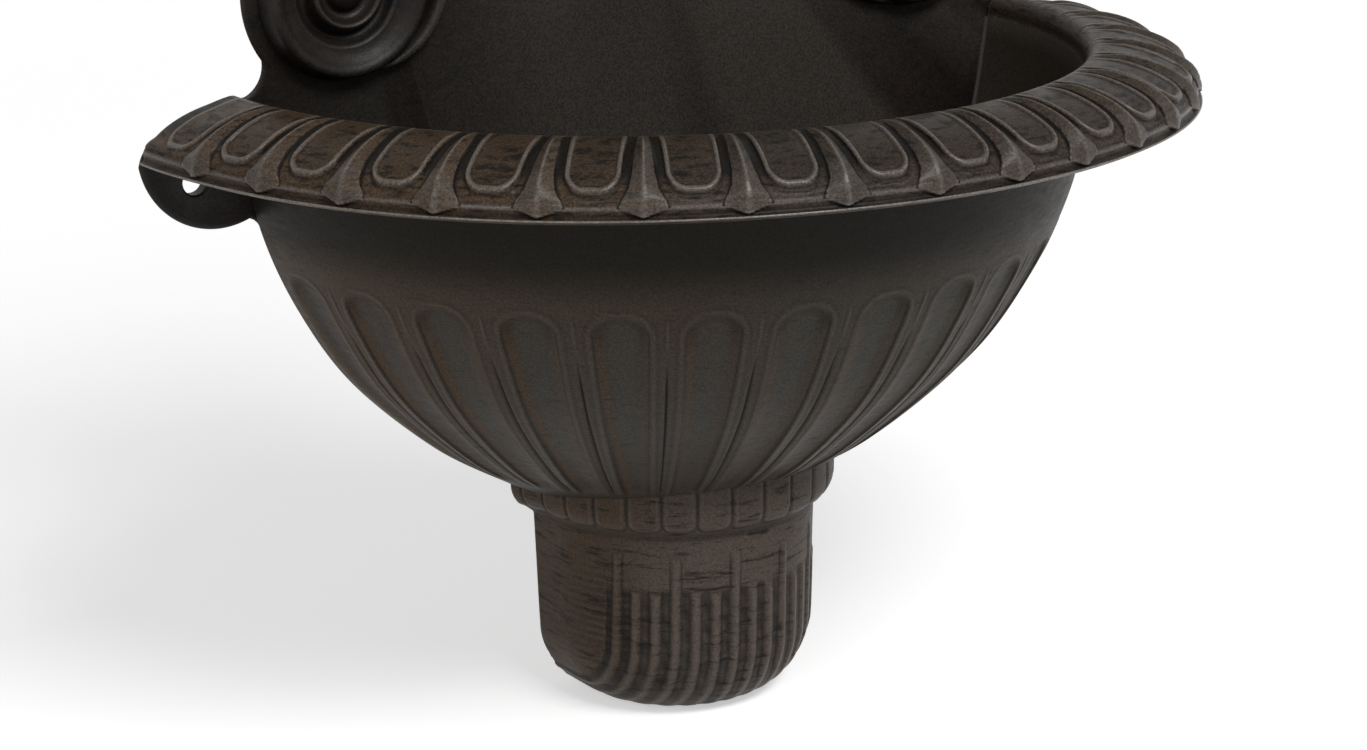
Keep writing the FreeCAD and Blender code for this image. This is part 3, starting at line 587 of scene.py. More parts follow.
def rim_relief(path, angles):
    """The rise of the rim's ornament, and how worn or sooty it is, with its painted light and shade."""
    s, q, r, z = rim_local(path, angles)
    dart = dart_height(q, r, z)
    tongue = tongue_height(tongue_side(s, r)) * (1.0 - ramp(r, 266.2, 267.6))
    rise = np.where(dart > 0.02, dart, tongue)
    top = (np.arange(len(path)) < np.argmax(path[:, 0] >= LIP_R - 0.25))[:, None]
    fade = 0.2 * ramp(r, 219.0, 227.0) + 0.8 * ramp(r, 223.0, 238.0)
    end = rim_end(angles)
    rise = (rise * (1.0 - 0.8 * end) - END_SINK * end * (1.0 - ramp(r, 262.0, 267.0))) * fade * top
    return rise, np.clip(rim_wear_and_painted_light(s, q, r, z), -1.0, 1.0) * ramp(r, 219.0, 227.0)


def widening(path, angles):
    """The rim's plan is a little squarish, so it stands out halfway round each side."""
    out = RIM_WIDEN * bump((np.abs(np.degrees(angles)) - WIDEN_AT) / WIDEN_SPREAD)
    return (out + END_WIDEN * rim_end(angles)) * np.clip((path[:, :1] - 226.0) / 44.0, 0.0, 1.0)


def basin_rim():
    path = rim_section()
    angles = rim_columns(path)
    rise, wear_and_painted_light = rim_relief(path, angles)
    turned = angles + TONGUE_TURN * np.sin(2.0 * angles)
    points = round_the_axis(path, turned, rise, rim_ways(path), widening(path, turned))
    # The rust mark here holds only painted warm light on the left side
    marks = {"wear_and_painted_light": wear_and_painted_light, "rust_and_warm_light": painted_warm_light(points[..., 0])}
    return closed_grid("basin_rim", points, sharp=50.0, marks=marks)


def painted_warm_light(x):
    """Painted warm light: the left side is browner than the rest."""
    return 0.75 * ramp(-x, 60.0, 230.0)


def bowl_section():
    outer = smooth_path(BOWL_OUT, 1.0)
    high = spaced(outer[outer[:, 1] > -50.0], 4.0)
    low = spaced(outer[outer[:, 1] <= -50.0], 1.7)
    floor = [(FLOOR_R, FLOOR_LOW), (FLOOR_R, FLOOR_TOP)]
    inner = spaced(smooth_path(BOWL_IN, 2.0), 11.0)
    return joined(high, low, floor, inner), len(high) + len(low)


def bowl_columns():
    """Angles of the bowl's columns, closer together at the edges of the flutes."""
    half = in_spans([0.0, 0.55, 0.76, 0.92, 1.0], [5, 9, 3, 4])
    return repeated(half * math.pi / FLUTES / 2.0, FLUTES)


def flute_side(s, half_pitch, z):
    """Distance outwards from the edge of a channel, whose head is a soft arch."""
    wide = half_pitch * np.interp(z, [-180.0, -73.0], [0.58, 0.635])
    up = (z - FLUTE_TOP_Z) * 1.06 + FLUTE_ROUND
    return beyond(np.abs(s) - wide + FLUTE_ROUND, up, FLUTE_ROUND)


def flute_relief(s, half_pitch, z):
    """Sunken channels with thin borders, a crease between two, how worn they are with painted shade in
    their hollows, and how rusty they are.
    """
    d = flute_side(s, half_pitch, z)
    inside = np.clip(-d / 9.0, 0.0, 1.0)
    channel = -FLUTE_DEPTH * (0.25 * ramp(-d, -0.2, 0.8) + 0.75 * (1.0 - (1.0 - inside) ** 2))
    border = 0.25 * half_round((d - 1.3) / 1.4)
    q = half_pitch - np.abs(s)
    deep = ramp(-z, 66.0, 104.0)
    crease = -1.1 * deep * np.clip(1.0 - q / 1.3, 0.0, 1.0)
    ridge = 0.4 * half_round(q / 1.0) * ramp(-z, 58.0, 66.0) * (1.0 - deep)
    low = ramp(-z, 54.0, 58.0) * (1.0 - ramp(-z, 172.0, 178.0))
    # Worn borders and ridges; painted shade inside the channels' edges and in the creases, and dark lines
    # outside the borders
    wear_and_painted_light = 0.22 * bump((d - 1.4) / 1.2) - 0.6 * bump((d + 0.4) / 0.8) - 0.35 * bump(q / 1.1) * deep
    wear_and_painted_light = wear_and_painted_light + 0.4 * bump(q / 0.9) * (1.0 - deep) * ramp(-z, 58.0, 66.0) - 0.3 * bump((d - 3.2) / 1.1)
    # Painted shadow under the channels' heads
    wear_and_painted_light = wear_and_painted_light - 0.6 * bump((d + 3.2) / 3.8) * ramp(z, -82.0, -66.0)
    rust_and_warm_light = bump((d + 3.4) / 3.0) * (0.35 + 0.65 * (s < 0.0)) + 0.5 * bump((d - 1.0) / 1.6)
    rust_and_warm_light = rust_and_warm_light - ramp(-d, 4.5, 8.0)
    return (channel + border + crease + ridge) * low, wear_and_painted_light * low, rust_and_warm_light * low


def basin_bowl():
    path, outer = bowl_section()
    columns = bowl_columns()
    angles = np.broadcast_to(columns, (len(path), len(columns)))
    r, z = path[:, :1], path[:, 1:]
    s = sideways(angles, FLUTES, r)
    outside = (np.arange(len(path)) < outer)[:, None]
    rise, wear_and_painted_light, rust_and_warm_light = [v * outside for v in flute_relief(s, math.pi / FLUTES / 2.0 * r, z)]
    rise = rise * (1.0 - ramp(np.abs(np.degrees(angles)), 84.0, 88.0))
    # Painted shade: a dark band under the rim's overhang, and darker low down where the bowl meets the
    # corbel
    shade = -(0.95 * (1.0 - ramp(-z, 34.0, 58.0)) + 0.7 * ramp(-z, 172.0, 184.0)) * outside
    points = round_the_axis(path, angles, rise, normals(path))
    # The rust mark adds painted warm light on the left side
    marks = {"wear_and_painted_light": np.clip(wear_and_painted_light + shade, -1.0, 1.0), "rust_and_warm_light": rust_and_warm_light * 0.8 + 0.9 * painted_warm_light(points[..., 0])}
    return closed_grid("basin_bowl", points, sharp=50.0, marks=marks)


def basin_floor():
    """The flat bottom, with the hole for the waste."""
    half = np.radians(np.linspace(-90.0, 90.0, 91))
    low = np.column_stack([FLOOR_R * np.sin(half), BASIN_Y - FLOOR_R * np.cos(half),
                           np.full(len(half), LIP + FLOOR_LOW)])
    obj = slab("basin_floor", low, low + [0.0, 0.0, FLOOR_TOP - FLOOR_LOW])
    hole = [(WASTE_HOLE_R, -20.0), (WASTE_HOLE_R, 20.0)]
    cut_away(obj, lathe("hole", hole, (0.0, WASTE_Y, LIP + FLOOR_TOP), 72, axis="Z"))
    return obj


def rim_web(side):
    """The flat end wall under the rim, which takes the rim's screw."""
    top = dome(DOME_W - 2.0, DOME_H - 2.0, 223.0, 265.0, 2.0)
    outline = joined([(221.0, 8.0)], top, [(264.0, -1.5), (222.0, -1.5)]) * [side, 1.0]
    obj = slab("basin_web", ring_at(outline, BASIN_Y), ring_at(outline, BASIN_Y - 6.0))
    drill(obj, [(RIM_SCREW_R, -10.0), (RIM_SCREW_R, 20.0)], side * RIM_SCREW[0], BASIN_Y, RIM_SCREW[1], 24)
    return obj


def rounded_box(name, low, high, radius):
    """A block with rounded edges."""
    low, high = np.array(low, float), np.array(high, float)
    corners = [[(low, high)[(k >> axis) & 1][axis] for axis in range(3)] for k in range(8)]
    faces = [[0, 2, 3, 1], [4, 5, 7, 6], [0, 1, 5, 4], [2, 6, 7, 3], [0, 4, 6, 2], [1, 3, 7, 5]]
    obj = add_mesh(name, corners, faces, smooth=True)
    change = obj.modifiers.new("round", "BEVEL")
    change.width = radius * MM
    change.segments = 4
    settled(obj)
    return outwards(obj)


def basin_lug(side, spot, half):
    """A block inside the bowl's wall that takes one of its screws."""
    x, z = spot
    ends = sorted([side * (x - half), side * (x + half + LUG_REACH)])
    low = (ends[0], BASIN_Y - LUG_T, LIP + z - half)
    high = (ends[1], BASIN_Y + 3.0, LIP + z + half)
    obj = rounded_box("basin_lug", low, high, 3.0)
    behind = [(-300.0, -300.0), (300.0, -300.0), (300.0, 200.0), (-300.0, 200.0)]
    cut_away(obj, slab("behind", ring_at(behind, BASIN_Y), ring_at(behind, 60.0)))
    drill(obj, [(SCREW_R, -20.0), (SCREW_R, 40.0)], side * x, BASIN_Y, z, 24)
    return obj


def basin_inside():
    """The end walls and the screw blocks, as one mesh."""
    parts = [rim_web(side) for side in (-1.0, 1.0)]
    for side in (-1.0, 1.0):
        parts += [basin_lug(side, HIGH_SCREW, 10.0), basin_lug(side, LOW_SCREW, 11.0)]
    return merged("basin_lugs", parts)


# Corbel

def corbel_plan(r):
    """Plan points and outward directions round the corbel, for radii in a column."""
    angles = np.radians(np.linspace(-90.0, 90.0, TURN_COLUMNS))
    run_y = -PLATE_T - CORBEL_RUN * np.linspace(0.0, 1.0, RUN_COLUMNS, endpoint=False)
    flat, side = 0.0 * run_y, 0.0 * run_y + 1.0
    x = np.hstack([-r * side, r * np.sin(angles), r * side])
    y = np.hstack([run_y + 0.0 * r, -PLATE_T - CORBEL_RUN - r * np.cos(angles), run_y[::-1] + 0.0 * r])
    nx = np.concatenate([-side, np.sin(angles), side])
    ny = np.concatenate([flat, -np.cos(angles), flat])
    return x, y, nx, ny


def corbel_way():
    """How far round the collar each column is from the middle of the front."""
    half = math.pi / 2.0 * COLLAR_R
    end = half + CORBEL_RUN
    left = np.linspace(-end, -half, RUN_COLUMNS, endpoint=False)
    turn = np.linspace(-half, half, TURN_COLUMNS)
    return np.concatenate([left, turn, np.linspace(half, end, RUN_COLUMNS)])[None, :]


def reed_relief(x, z):
    """Reeds that run down the front and straight back underneath, with grooves dark with soot and painted
    shade.
    """
    turn = np.degrees(np.arcsin(np.clip(x / REED_R, -1.0, 1.0)))
    place = turn / REED_STEP + (REEDS - 1) / 2.0
    k = np.clip(np.round(place), 0, REEDS - 1)
    off = np.abs(place - k) * math.radians(REED_STEP) * REED_R
    inside = (place > -0.62) & (place < REEDS - 0.38)
    top = np.where(k % 3 == 0, TALL_REED - 2.5 * (k % 2), SHORT_REED + 1.5 * np.sin(2.3 * k))
    started = ramp(-z, -SHORT_REED - 1.0, -SHORT_REED + 3.0)
    groove = -0.45 * ramp(off, REED_HALF, REED_HALF + 1.2) * inside * started
    grown = inside * ramp(-z, -top, -top + 5.0)
    faint = 1.0 - 0.55 * ramp(x, 12.0, 45.0)
    bead = REED_H * faint * half_round(off / REED_HALF) * grown
    patchy = 0.7 + 0.3 * np.sin(0.9 * x + 0.31 * z) * np.sin(0.23 * z - 0.4 * x)
    # Soot and painted shade in the grooves between the reeds
    groove_soot_and_shade = 0.9 * patchy * faint * ramp(off, REED_HALF - 0.4, REED_HALF + 0.9)
    wear_and_painted_light = 0.5 * bump(off / 1.8) * grown - groove_soot_and_shade * inside * started
    return (groove + bead) * (1.0 - 0.85 * ramp(-z, 272.0, 296.0)), wear_and_painted_light


def leaf_relief(around, z):
    """Blunt lobes side by side round the collar, parted by thin grooves, with painted light on them."""
    place = around / LEAF_STEP + 0.5
    off = np.abs(place - np.round(place)) * LEAF_STEP
    side = off - LEAF_STEP / 2.0 + 0.5 + LEAF_ROUND
    low = LEAF_LOW_Z - z + LEAF_ROUND
    d = beyond(side, low, LEAF_ROUND)
    # The collar draws in round the front and spreads towards the plate
    half = math.pi / 2.0 * COLLAR_R
    spread = -0.5 + 2.5 * ramp(np.abs(around), half, half + CORBEL_RUN)
    lobe = 1.0 * ramp(-d, -0.4, 2.2) - 0.9 + spread
    # A painted highlight just inside each lobe's edge, and painted shade in the grooves round it
    wear_and_painted_light = 0.35 * bump((d + 1.6) / 1.3) - 0.6 * bump((d - 0.4) / 1.3)
    return lobe * ramp(z, -206.0, -202.0), wear_and_painted_light * (z > -204.0)


def corbel_wall(low):
    """The outside below the bowl, with collar and reeds, and its wear and painted light."""
    x, y, nx, ny = corbel_plan(low[:, :1])
    z = low[:, 1:] + 0.0 * x
    ways = normals(low)
    # On the straight run the reeds of the wall end, but underneath they go on to the back
    on_run = (low[:, :1] > 67.0) & (ny == 0.0)
    reed, reed_wear_and_painted_light = reed_relief(np.where(on_run, 1e3 * nx, x), z)
    below = ramp(-z, 206.0, 209.0) * ramp(low[:, :1], 30.0, 36.0)
    leaf, leaf_wear_and_painted_light = leaf_relief(corbel_way(), z)
    rise = reed * below + leaf
    back = -1.3 * (1.0 - ramp(-y - PLATE_T, 0.0, 2.5)) * ramp(low[:, :1], 20.0, 60.0)
    wear_and_painted_light = reed_wear_and_painted_light * below + leaf_wear_and_painted_light
    wear_and_painted_light = wear_and_painted_light - 0.7 * bump((x + 62.0) / 14.0) * bump((z + 245.0) / 46.0) * np.sin(0.8 * z) ** 2
    points = [x + nx * (ways[:, :1] * rise + back), y + ny * ways[:, :1] * rise,
              np.maximum(z + ways[:, 1:] * rise, FOOT_Z)]
    return np.stack(points, -1), wear_and_painted_light


def corbel_head(start_z):
    """The collar's top rows, which rise to follow the bowl's outside, and their wear and painted light,
    darker where they meet the bowl.
    """
    x, y, nx, ny = corbel_plan(np.array([[COLLAR_R]]))
    bowl = smooth_path(BOWL_OUT, 1.0)[::-1]
    away = np.hypot(x, y - BASIN_Y)
    top = np.maximum(np.interp(away, bowl[:, 0], bowl[:, 1]) + 2.5, start_z + 0.5)
    share = np.linspace(1.0, 0.0, COLLAR_ROWS, endpoint=False)[:, None]
    z = start_z + (top - start_z) * share
    lobe, wear_and_painted_light = leaf_relief(corbel_way(), np.maximum(z, -192.0))
    return np.stack([x + nx * lobe, y + ny * lobe, z], -1), wear_and_painted_light - 0.9 * ramp(share, 0.72, 1.0)


def corbel_inside(top):
    """The hollow, from the collar's top down to the hole underneath."""
    wall = np.array([(COLLAR_R - CORBEL_T, 0.0), (COLLAR_R - CORBEL_T, -192.0), (62.0, -204.0),
                     (61.0, -268.0), (28.0, -296.0), (14.0, -296.0)])
    x, y, _, _ = corbel_plan(wall[:, :1])
    z = wall[:, 1:] + 0.0 * x
    z[0] = top
    return np.stack([x, y, z], -1)


def corbel_piece():
    low = spaced(smooth_path(CORBEL_WALL, 0.5), 1.25)
    head, head_wear_and_painted_light = corbel_head(low[0, 1])
    wall, wall_wear_and_painted_light = corbel_wall(low)
    inside = corbel_inside(head[0, :, 2])
    body = np.concatenate([head, wall, inside[::-1]])
    body[..., 2] += LIP
    wear_and_painted_light = np.concatenate([head_wear_and_painted_light, wall_wear_and_painted_light, 0.0 * inside[..., 0]])
    # The rust mark here holds only painted warm light on the left side
    marks = {"wear_and_painted_light": np.clip(wear_and_painted_light, -1.0, 1.0), "rust_and_warm_light": 0.8 * ramp(-body[..., 0], 38.0, 70.0)}
    return closed_grid("corbel_cast", body, sharp=50.0, marks=marks)


# Back plate

def stepped(start, steps):
    """An outline from a point, by steps of (middle, end): an arc, or straight without a middle."""
    parts = []
    for middle, end in steps:
        parts.append([start, end] if middle is None else through(start, middle, end))
        start = end
    return joined(*parts)


def plate_half():
    """
    The right half of the outline, from the bottom centre to the top centre. Up to the ears
    it stays a little inside the edge of the basin and the corbel.
    """
    foot = FOOT_Z + CORBEL_SHY
    low = stepped((0.0, foot), [
        (None, (33.0, foot)), ((56.2, -289.7), (65.7, -262.0)), (None, (67.5, -202.5)),
        ((72.6, -197.2), (78.5, -190.5)), (None, (80.2, -187.6))])
    bowl = smooth_path([(r - PLATE_SHY, z) for r, z in reversed(BOWL_OUT[2:])], 2.0)
    high = stepped(bowl[-1], [
        ((213.3, -35.6), on_circle(EAR_CENTRE, EAR_R, -111.0)),
        (on_circle(EAR_CENTRE, EAR_R, -50.0), on_circle(EAR_CENTRE, EAR_R, -9.0)),
        ((268.2, 4.6), (260.5, 11.2)), ((251.0, 16.4), (240.0, 21.0)), (None, (216.0, 24.0)),
        ((208.2, 31.5), on_circle(LOW_SCROLL, LOW_LOBE_R, -35.0)),
        (on_circle(LOW_SCROLL, LOW_LOBE_R, 10.0), on_circle(LOW_SCROLL, LOW_LOBE_R, 62.0)),
        ((149.0, 139.0), (128.0, 178.0)), (None, (121.0, 255.0)),
        (None, on_circle(TOP_SCROLL, TOP_LOBE_R, -52.0)),
        (on_circle(TOP_SCROLL, TOP_LOBE_R, 10.0), on_circle(TOP_SCROLL, TOP_LOBE_R, 80.0)),
        ((88.0, 338.0), on_circle(CREST, CREST_R, -3.0)),
        (on_circle(CREST, CREST_R, 45.0), (0.0, CREST[1] + CREST_R))])
    return joined(low, bowl, high)


def drawn_in(outline, amount):
    """A closed outline moved inwards along its normals, where it runs anticlockwise."""
    along = np.roll(outline, -1, axis=0) - np.roll(outline, 1, axis=0)
    return outline + leftwards(along) * amount


def plate_blank():
    """The plate with rounded front edges and a wide chamfer at the wall."""
    half = plate_half()
    outline = np.vstack([half, (half[1:-1] * [-1.0, 1.0])[::-1]])
    steps = [(PLATE_BEVEL, 0.0), (PLATE_BEVEL * 0.12, PLATE_ROUND * 0.6 - PLATE_T)]
    for k in range(1, 7):
        a = math.radians(90.0 * k / 6.0)
        inset = PLATE_ROUND * (1.0 - math.cos(a)) * 0.9
        steps.append((inset, PLATE_ROUND * 0.55 * (1.0 - math.sin(a)) - PLATE_T))
    rings = [ring_at(drawn_in(outline, inset), y) for inset, y in steps]
    return ringed("plate_blank", np.array(rings), 40.0)


def plate_holes(plate):
    """Screw holes, countersunk at the wall, bolt holes, and holes for the tap and the waste."""
    screws = [(RIM_SCREW, RIM_SCREW_R, RIM_SCREW_HEAD_R)]
    screws += [(spot, SCREW_R, SCREW_HEAD_R) for spot in (HIGH_SCREW, LOW_SCREW, CORBEL_SCREW)]
    for side in (-1.0, 1.0):
        for (x, z), radius, head in screws:
            section = [(head + 0.6, -2.0), (head, 0.0), (radius, head - radius), (radius, 20.0)]
            drill(plate, section, side * x, 0.0, z, 32)
        for (x, z), radius in ((EAR_HOLE, EAR_HOLE_R), (UPPER_HOLE, UPPER_HOLE_R)):
            section = [(radius, -5.0), (radius, PLATE_T - 1.0), (radius + 3.0, PLATE_T + 2.0)]
            drill(plate, section, side * x, 0.0, z, 48)
    deep = PLATE_T - 0.5
    tap = [(BOSS_RECESS_R, -5.0), (BOSS_RECESS_R, deep), (SHANK_R, deep), (SHANK_R, 20.0)]
    drill(plate, tap, 0.0, 0.0, TAP_Z, 48)
    drill(plate, [(PIPE_HOLE_R, -5.0), (PIPE_HOLE_R, 20.0)], 0.0, 0.0, PIPE_Z, 48)


def swept_ridge(name, path, half, height):
    """A raised round band along a path on the plate."""
    path = np.asarray(path, float)
    aside = normals(path) * np.broadcast_to(half, len(path))[:, None]
    rows = [ring_at(path + aside * across, -PLATE_T - up * height) for across, up in ROUND_RIDGE]
    rows += [ring_at(path + aside * across, -PLATE_T + RIDGE_SINK) for across in (1.0, -1.0)]
    return closed_grid(name, np.array(rows), sharp=55.0)


def on_plate(name, section, x, z, sides, **shape):
    """A turned piece on the plate, from (radius, height above its front face) points."""
    return lathe(name, [(r, PLATE_T + h) for r, h in section], (x, 0.0, LIP + z), sides, **shape)


def spiral(centre, start_r, end_r, start, turn, step=2.0):
    count = int(abs(turn) / step) + 1
    radii = np.linspace(start_r, end_r, count)
    return on_circle(centre, radii, np.linspace(start, start + turn, count))


def volute(side):
    """The large lower scroll: an outer ridge, a hollow band, a groove, a ring and an eye."""
    section = [(43.0, -1.0), (43.0, 0.6), (41.9, 5.0), (40.9, 8.8), (39.6, 10.8), (37.8, 11.4),
               (35.8, 10.6), (33.4, 8.8), (30.8, 7.4), (28.6, 6.7), (27.0, 6.4), (25.8, 5.4), (24.8, 3.6),
               (23.4, 2.0), (21.8, 1.6), (20.2, 2.8), (19.0, 5.6), (18.0, 7.9), (16.8, 8.8), (15.6, 8.0),
               (14.4, 5.8), (13.0, 4.2), (11.0, 3.6), (9.6, 4.4), (8.6, 6.2), (7.2, 7.8), (5.0, 9.0),
               (2.4, 9.6), (0.2, 9.8)]
    return on_plate("volute", smooth_path(section, 0.8), side * LOW_SCROLL[0], LOW_SCROLL[1], 144)


def low_stem(side):
    """The stem that rises from under the lower scroll to the upper one."""
    around = spiral(LOW_SCROLL, 41.5, 53.0, -107.0, -73.0)
    rise = smooth_path([(112.0, 69.0), (112.5, 104.0), (101.0, 190.0), (85.0, 262.0), (81.0, 290.0)], 3.0)
    path = joined(around, rise[1:])
    path = spaced(smooth_path(spaced(path, 14.0), 2.0), 2.2)
    knots = [0, 12, 40, len(path) - 1]
    half = np.interp(np.arange(len(path)), knots, [1.5, 4.2, 5.0, 3.6])
    high = np.interp(np.arange(len(path)), knots, [5.0, 8.5, 9.0, 7.0])
    return swept_ridge("stem", path * [side, 1.0], half, high)


def top_scroll(side):
    path = spiral(TOP_SCROLL, 20.5, 5.0, 180.0, -560.0, 6.0)
    return swept_ridge("scroll", path * [side, 1.0], np.linspace(4.4, 2.2, len(path)), 9.0)


def top_eye(side):
    section = [(5.6, -1.0), (5.6, 3.0), (4.8, 6.0), (3.0, 8.4), (0.2, 9.4)]
    return on_plate("eye", section, side * TOP_SCROLL[0], TOP_SCROLL[1], 40)


def border():
    """The raised bead that follows the plate's edge and rises out of it above the basin."""
    half = plate_half()
    keep = half[half[:, 1] > 84.0]
    line = spaced(np.vstack([keep, (keep[:-1] * [-1.0, 1.0])[::-1]]), 3.0)
    at = np.arange(len(line))
    grown = np.minimum(ramp(at, 0.0, 14.0), ramp(at[::-1], 0.0, 14.0))
    return swept_ridge("plate_border", line + normals(line) * 5.2, 2.6, 0.2 + 2.2 * grown)


def panel():
    """The arched bead that frames the tap."""
    half, low, high = PANEL_HALF - 3.0, PANEL_LOW + 3.0, PANEL_HIGH
    arch = through((half, high), (0.0, high + half * 0.62), (-half, high))
    path = joined([(0.0, low), (half, low), (half, high)], arch, [(-half, high), (-half, low), (0.0, low)])
    return swept_ridge("plate_panel", spaced(path, 3.0), 3.0, 3.0)


def shell():
    """A fan of ribs in the crest."""
    parts = []
    along = np.linspace(0.08, 1.0, 30)
    full = np.sqrt(np.clip(1.0 - ramp(along, 0.86, 1.0) ** 2, 0.0, 1.0))
    for k in range(SHELL_RIBS):
        a = math.radians(18.0 + 144.0 * k / (SHELL_RIBS - 1))
        reach = along * SHELL_LEN * (0.86 + 0.14 * math.sin(a))
        path = np.stack([reach * math.cos(a), SHELL_Z + reach * math.sin(a)], 1)
        parts.append(swept_ridge("rib", path, (2.2 + 7.2 * along) * np.maximum(full, 0.15),
                                 (2.5 + 6.5 * along) * np.maximum(full, 0.08)))
    section = [(13.0, -1.0), (13.0, 2.0), (11.6, 5.6), (9.0, 8.6), (5.0, 10.6), (0.2, 11.4)]
    parts.append(on_plate("base", section, 0.0, SHELL_Z, 48))
    return merged("plate_shell", parts)


def tap_boss():
    section = [(SHANK_R, -1.0), (BOSS_R, -1.0), (BOSS_R, 2.0), (34.6, 3.4), (33.0, 4.0), (32.0, 5.2),
               (31.6, 7.2), (30.4, 8.6), (28.6, BOSS_H), (SHANK_R, BOSS_H)]
    return on_plate("plate_boss", section, 0.0, TAP_Z, 96, sharp=42.0, hollow=True)


def in_steps(path, count):
    """A path as a count of evenly spaced points."""
    path = spaced(path, 1.0)
    at = np.linspace(0.0, len(path) - 1, count)
    return np.stack([np.interp(at, np.arange(len(path)), path[:, k]) for k in (0, 1)], 1)


def joint_strip():
    """The gasket between basin and plate, with the bead that it squeezes out inside."""
    outer = smooth_path([(r - PLATE_SHY, z) for r, z in BOWL_OUT], 3.0)[::-1]
    ins = in_steps(np.vstack([[(0.0, FLOOR_TOP)], smooth_path(BOWL_IN, 3.0)]), 90)
    outs = in_steps(np.vstack([[(0.0, FLOOR_LOW)], outer]), 90)
    strip = [(0.0, 0.0), (0.0, GASKET_T), (1.0, GASKET_T), (1.0, 0.0)]
    bead = [(-0.6, 0.4), (1.5, 0.4), (1.3, -0.4), (0.9, -0.9), (0.3, -1.2), (-0.6, -1.4)]
    parts = []
    for side in (-1.0, 1.0):
        rows = [ring_at((ins + (outs - ins) * share) * [side, 1.0], BASIN_Y + y) for share, y in strip]
        parts.append(closed_grid("strip", np.array(rows)))
        lines = [((ins + normals(ins) * across) * [side, 1.0], deep) for across, deep in bead]
        rows = [ring_at(line, BASIN_Y + GASKET_T - 0.4 + deep) for line, deep in lines]
        parts.append(closed_grid("bead", np.array(rows)))
    return merged("joint_strip", parts)


# Materials

def put(tree, socket, value):
    """Links a node's output to a socket, or sets the socket's own value."""
    if isinstance(value, bpy.types.NodeSocket):
        tree.links.new(value, socket)
    elif socket.type == "RGBA":
        socket.default_value = (*value, 1.0)
    else:
        socket.default_value = value


def fill(tree, target, inputs):
    for key, value in inputs.items():
        put(tree, target.inputs[key], value)


def node(tree, kind, inputs, **settings):
    """Adds a shader node with its settings and inputs."""
    made = tree.nodes.new("ShaderNode" + kind)
    for key, value in settings.items():
        setattr(made, key, value)
    fill(tree, made, inputs)
    return made


def new_material(name):
    material = bpy.data.materials.new(name)
    material.use_nodes = True
    return material, material.node_tree, material.node_tree.nodes["Principled BSDF"]


def noise(tree, scale, detail, stretch=(1.0, 1.0, 1.0), roughness=0.55):
    """A noise texture on object coordinates, stretched if asked."""
    place = node(tree, "TexCoord", {}).outputs["Object"]
    place = node(tree, "Mapping", {"Vector": place, "Scale": stretch}).outputs["Vector"]
    inputs = {"Vector": place, "Scale": scale, "Detail": detail, "Roughness": roughness}
    return node(tree, "TexNoise", inputs).outputs["Fac"]


def mixed(tree, share, a, b):
    """A mix of two colours."""
    return node(tree, "Mix", {"Factor": share, "A": a, "B": b}, data_type="RGBA").outputs["Result"]


def span(tree, source, low, high, to_low, to_high):
    """A value brought from one range into another, and kept inside it."""
    inputs = {"Value": source, "From Min": low, "From Max": high, "To Min": to_low, "To Max": to_high}
    return node(tree, "MapRange", inputs).outputs["Result"]


def worked(tree, operation, *values):
    """What a sum of this kind makes of its values."""
    return node(tree, "Math", dict(enumerate(values)), operation=operation).outputs["Value"]


def bumped(tree, layers):
    """The normal after a chain of bumps: (height, strength, distance in metres)."""
    before = {}
    for height, strength, distance in layers:
        made = node(tree, "Bump", {"Height": height, "Strength": strength, "Distance": distance, **before})
        before = {"Normal": made.outputs["Normal"]}
    return before["Normal"]


def mark(tree, name):
    """A value that the mesh itself carries."""
    return node(tree, "Attribute", {}, attribute_name=name).outputs["Fac"]


def hollowness(tree):
    """About 0.5 on flat surfaces, less in hollows and more on edges."""
    return node(tree, "NewGeometry", {}).outputs["Pointiness"]


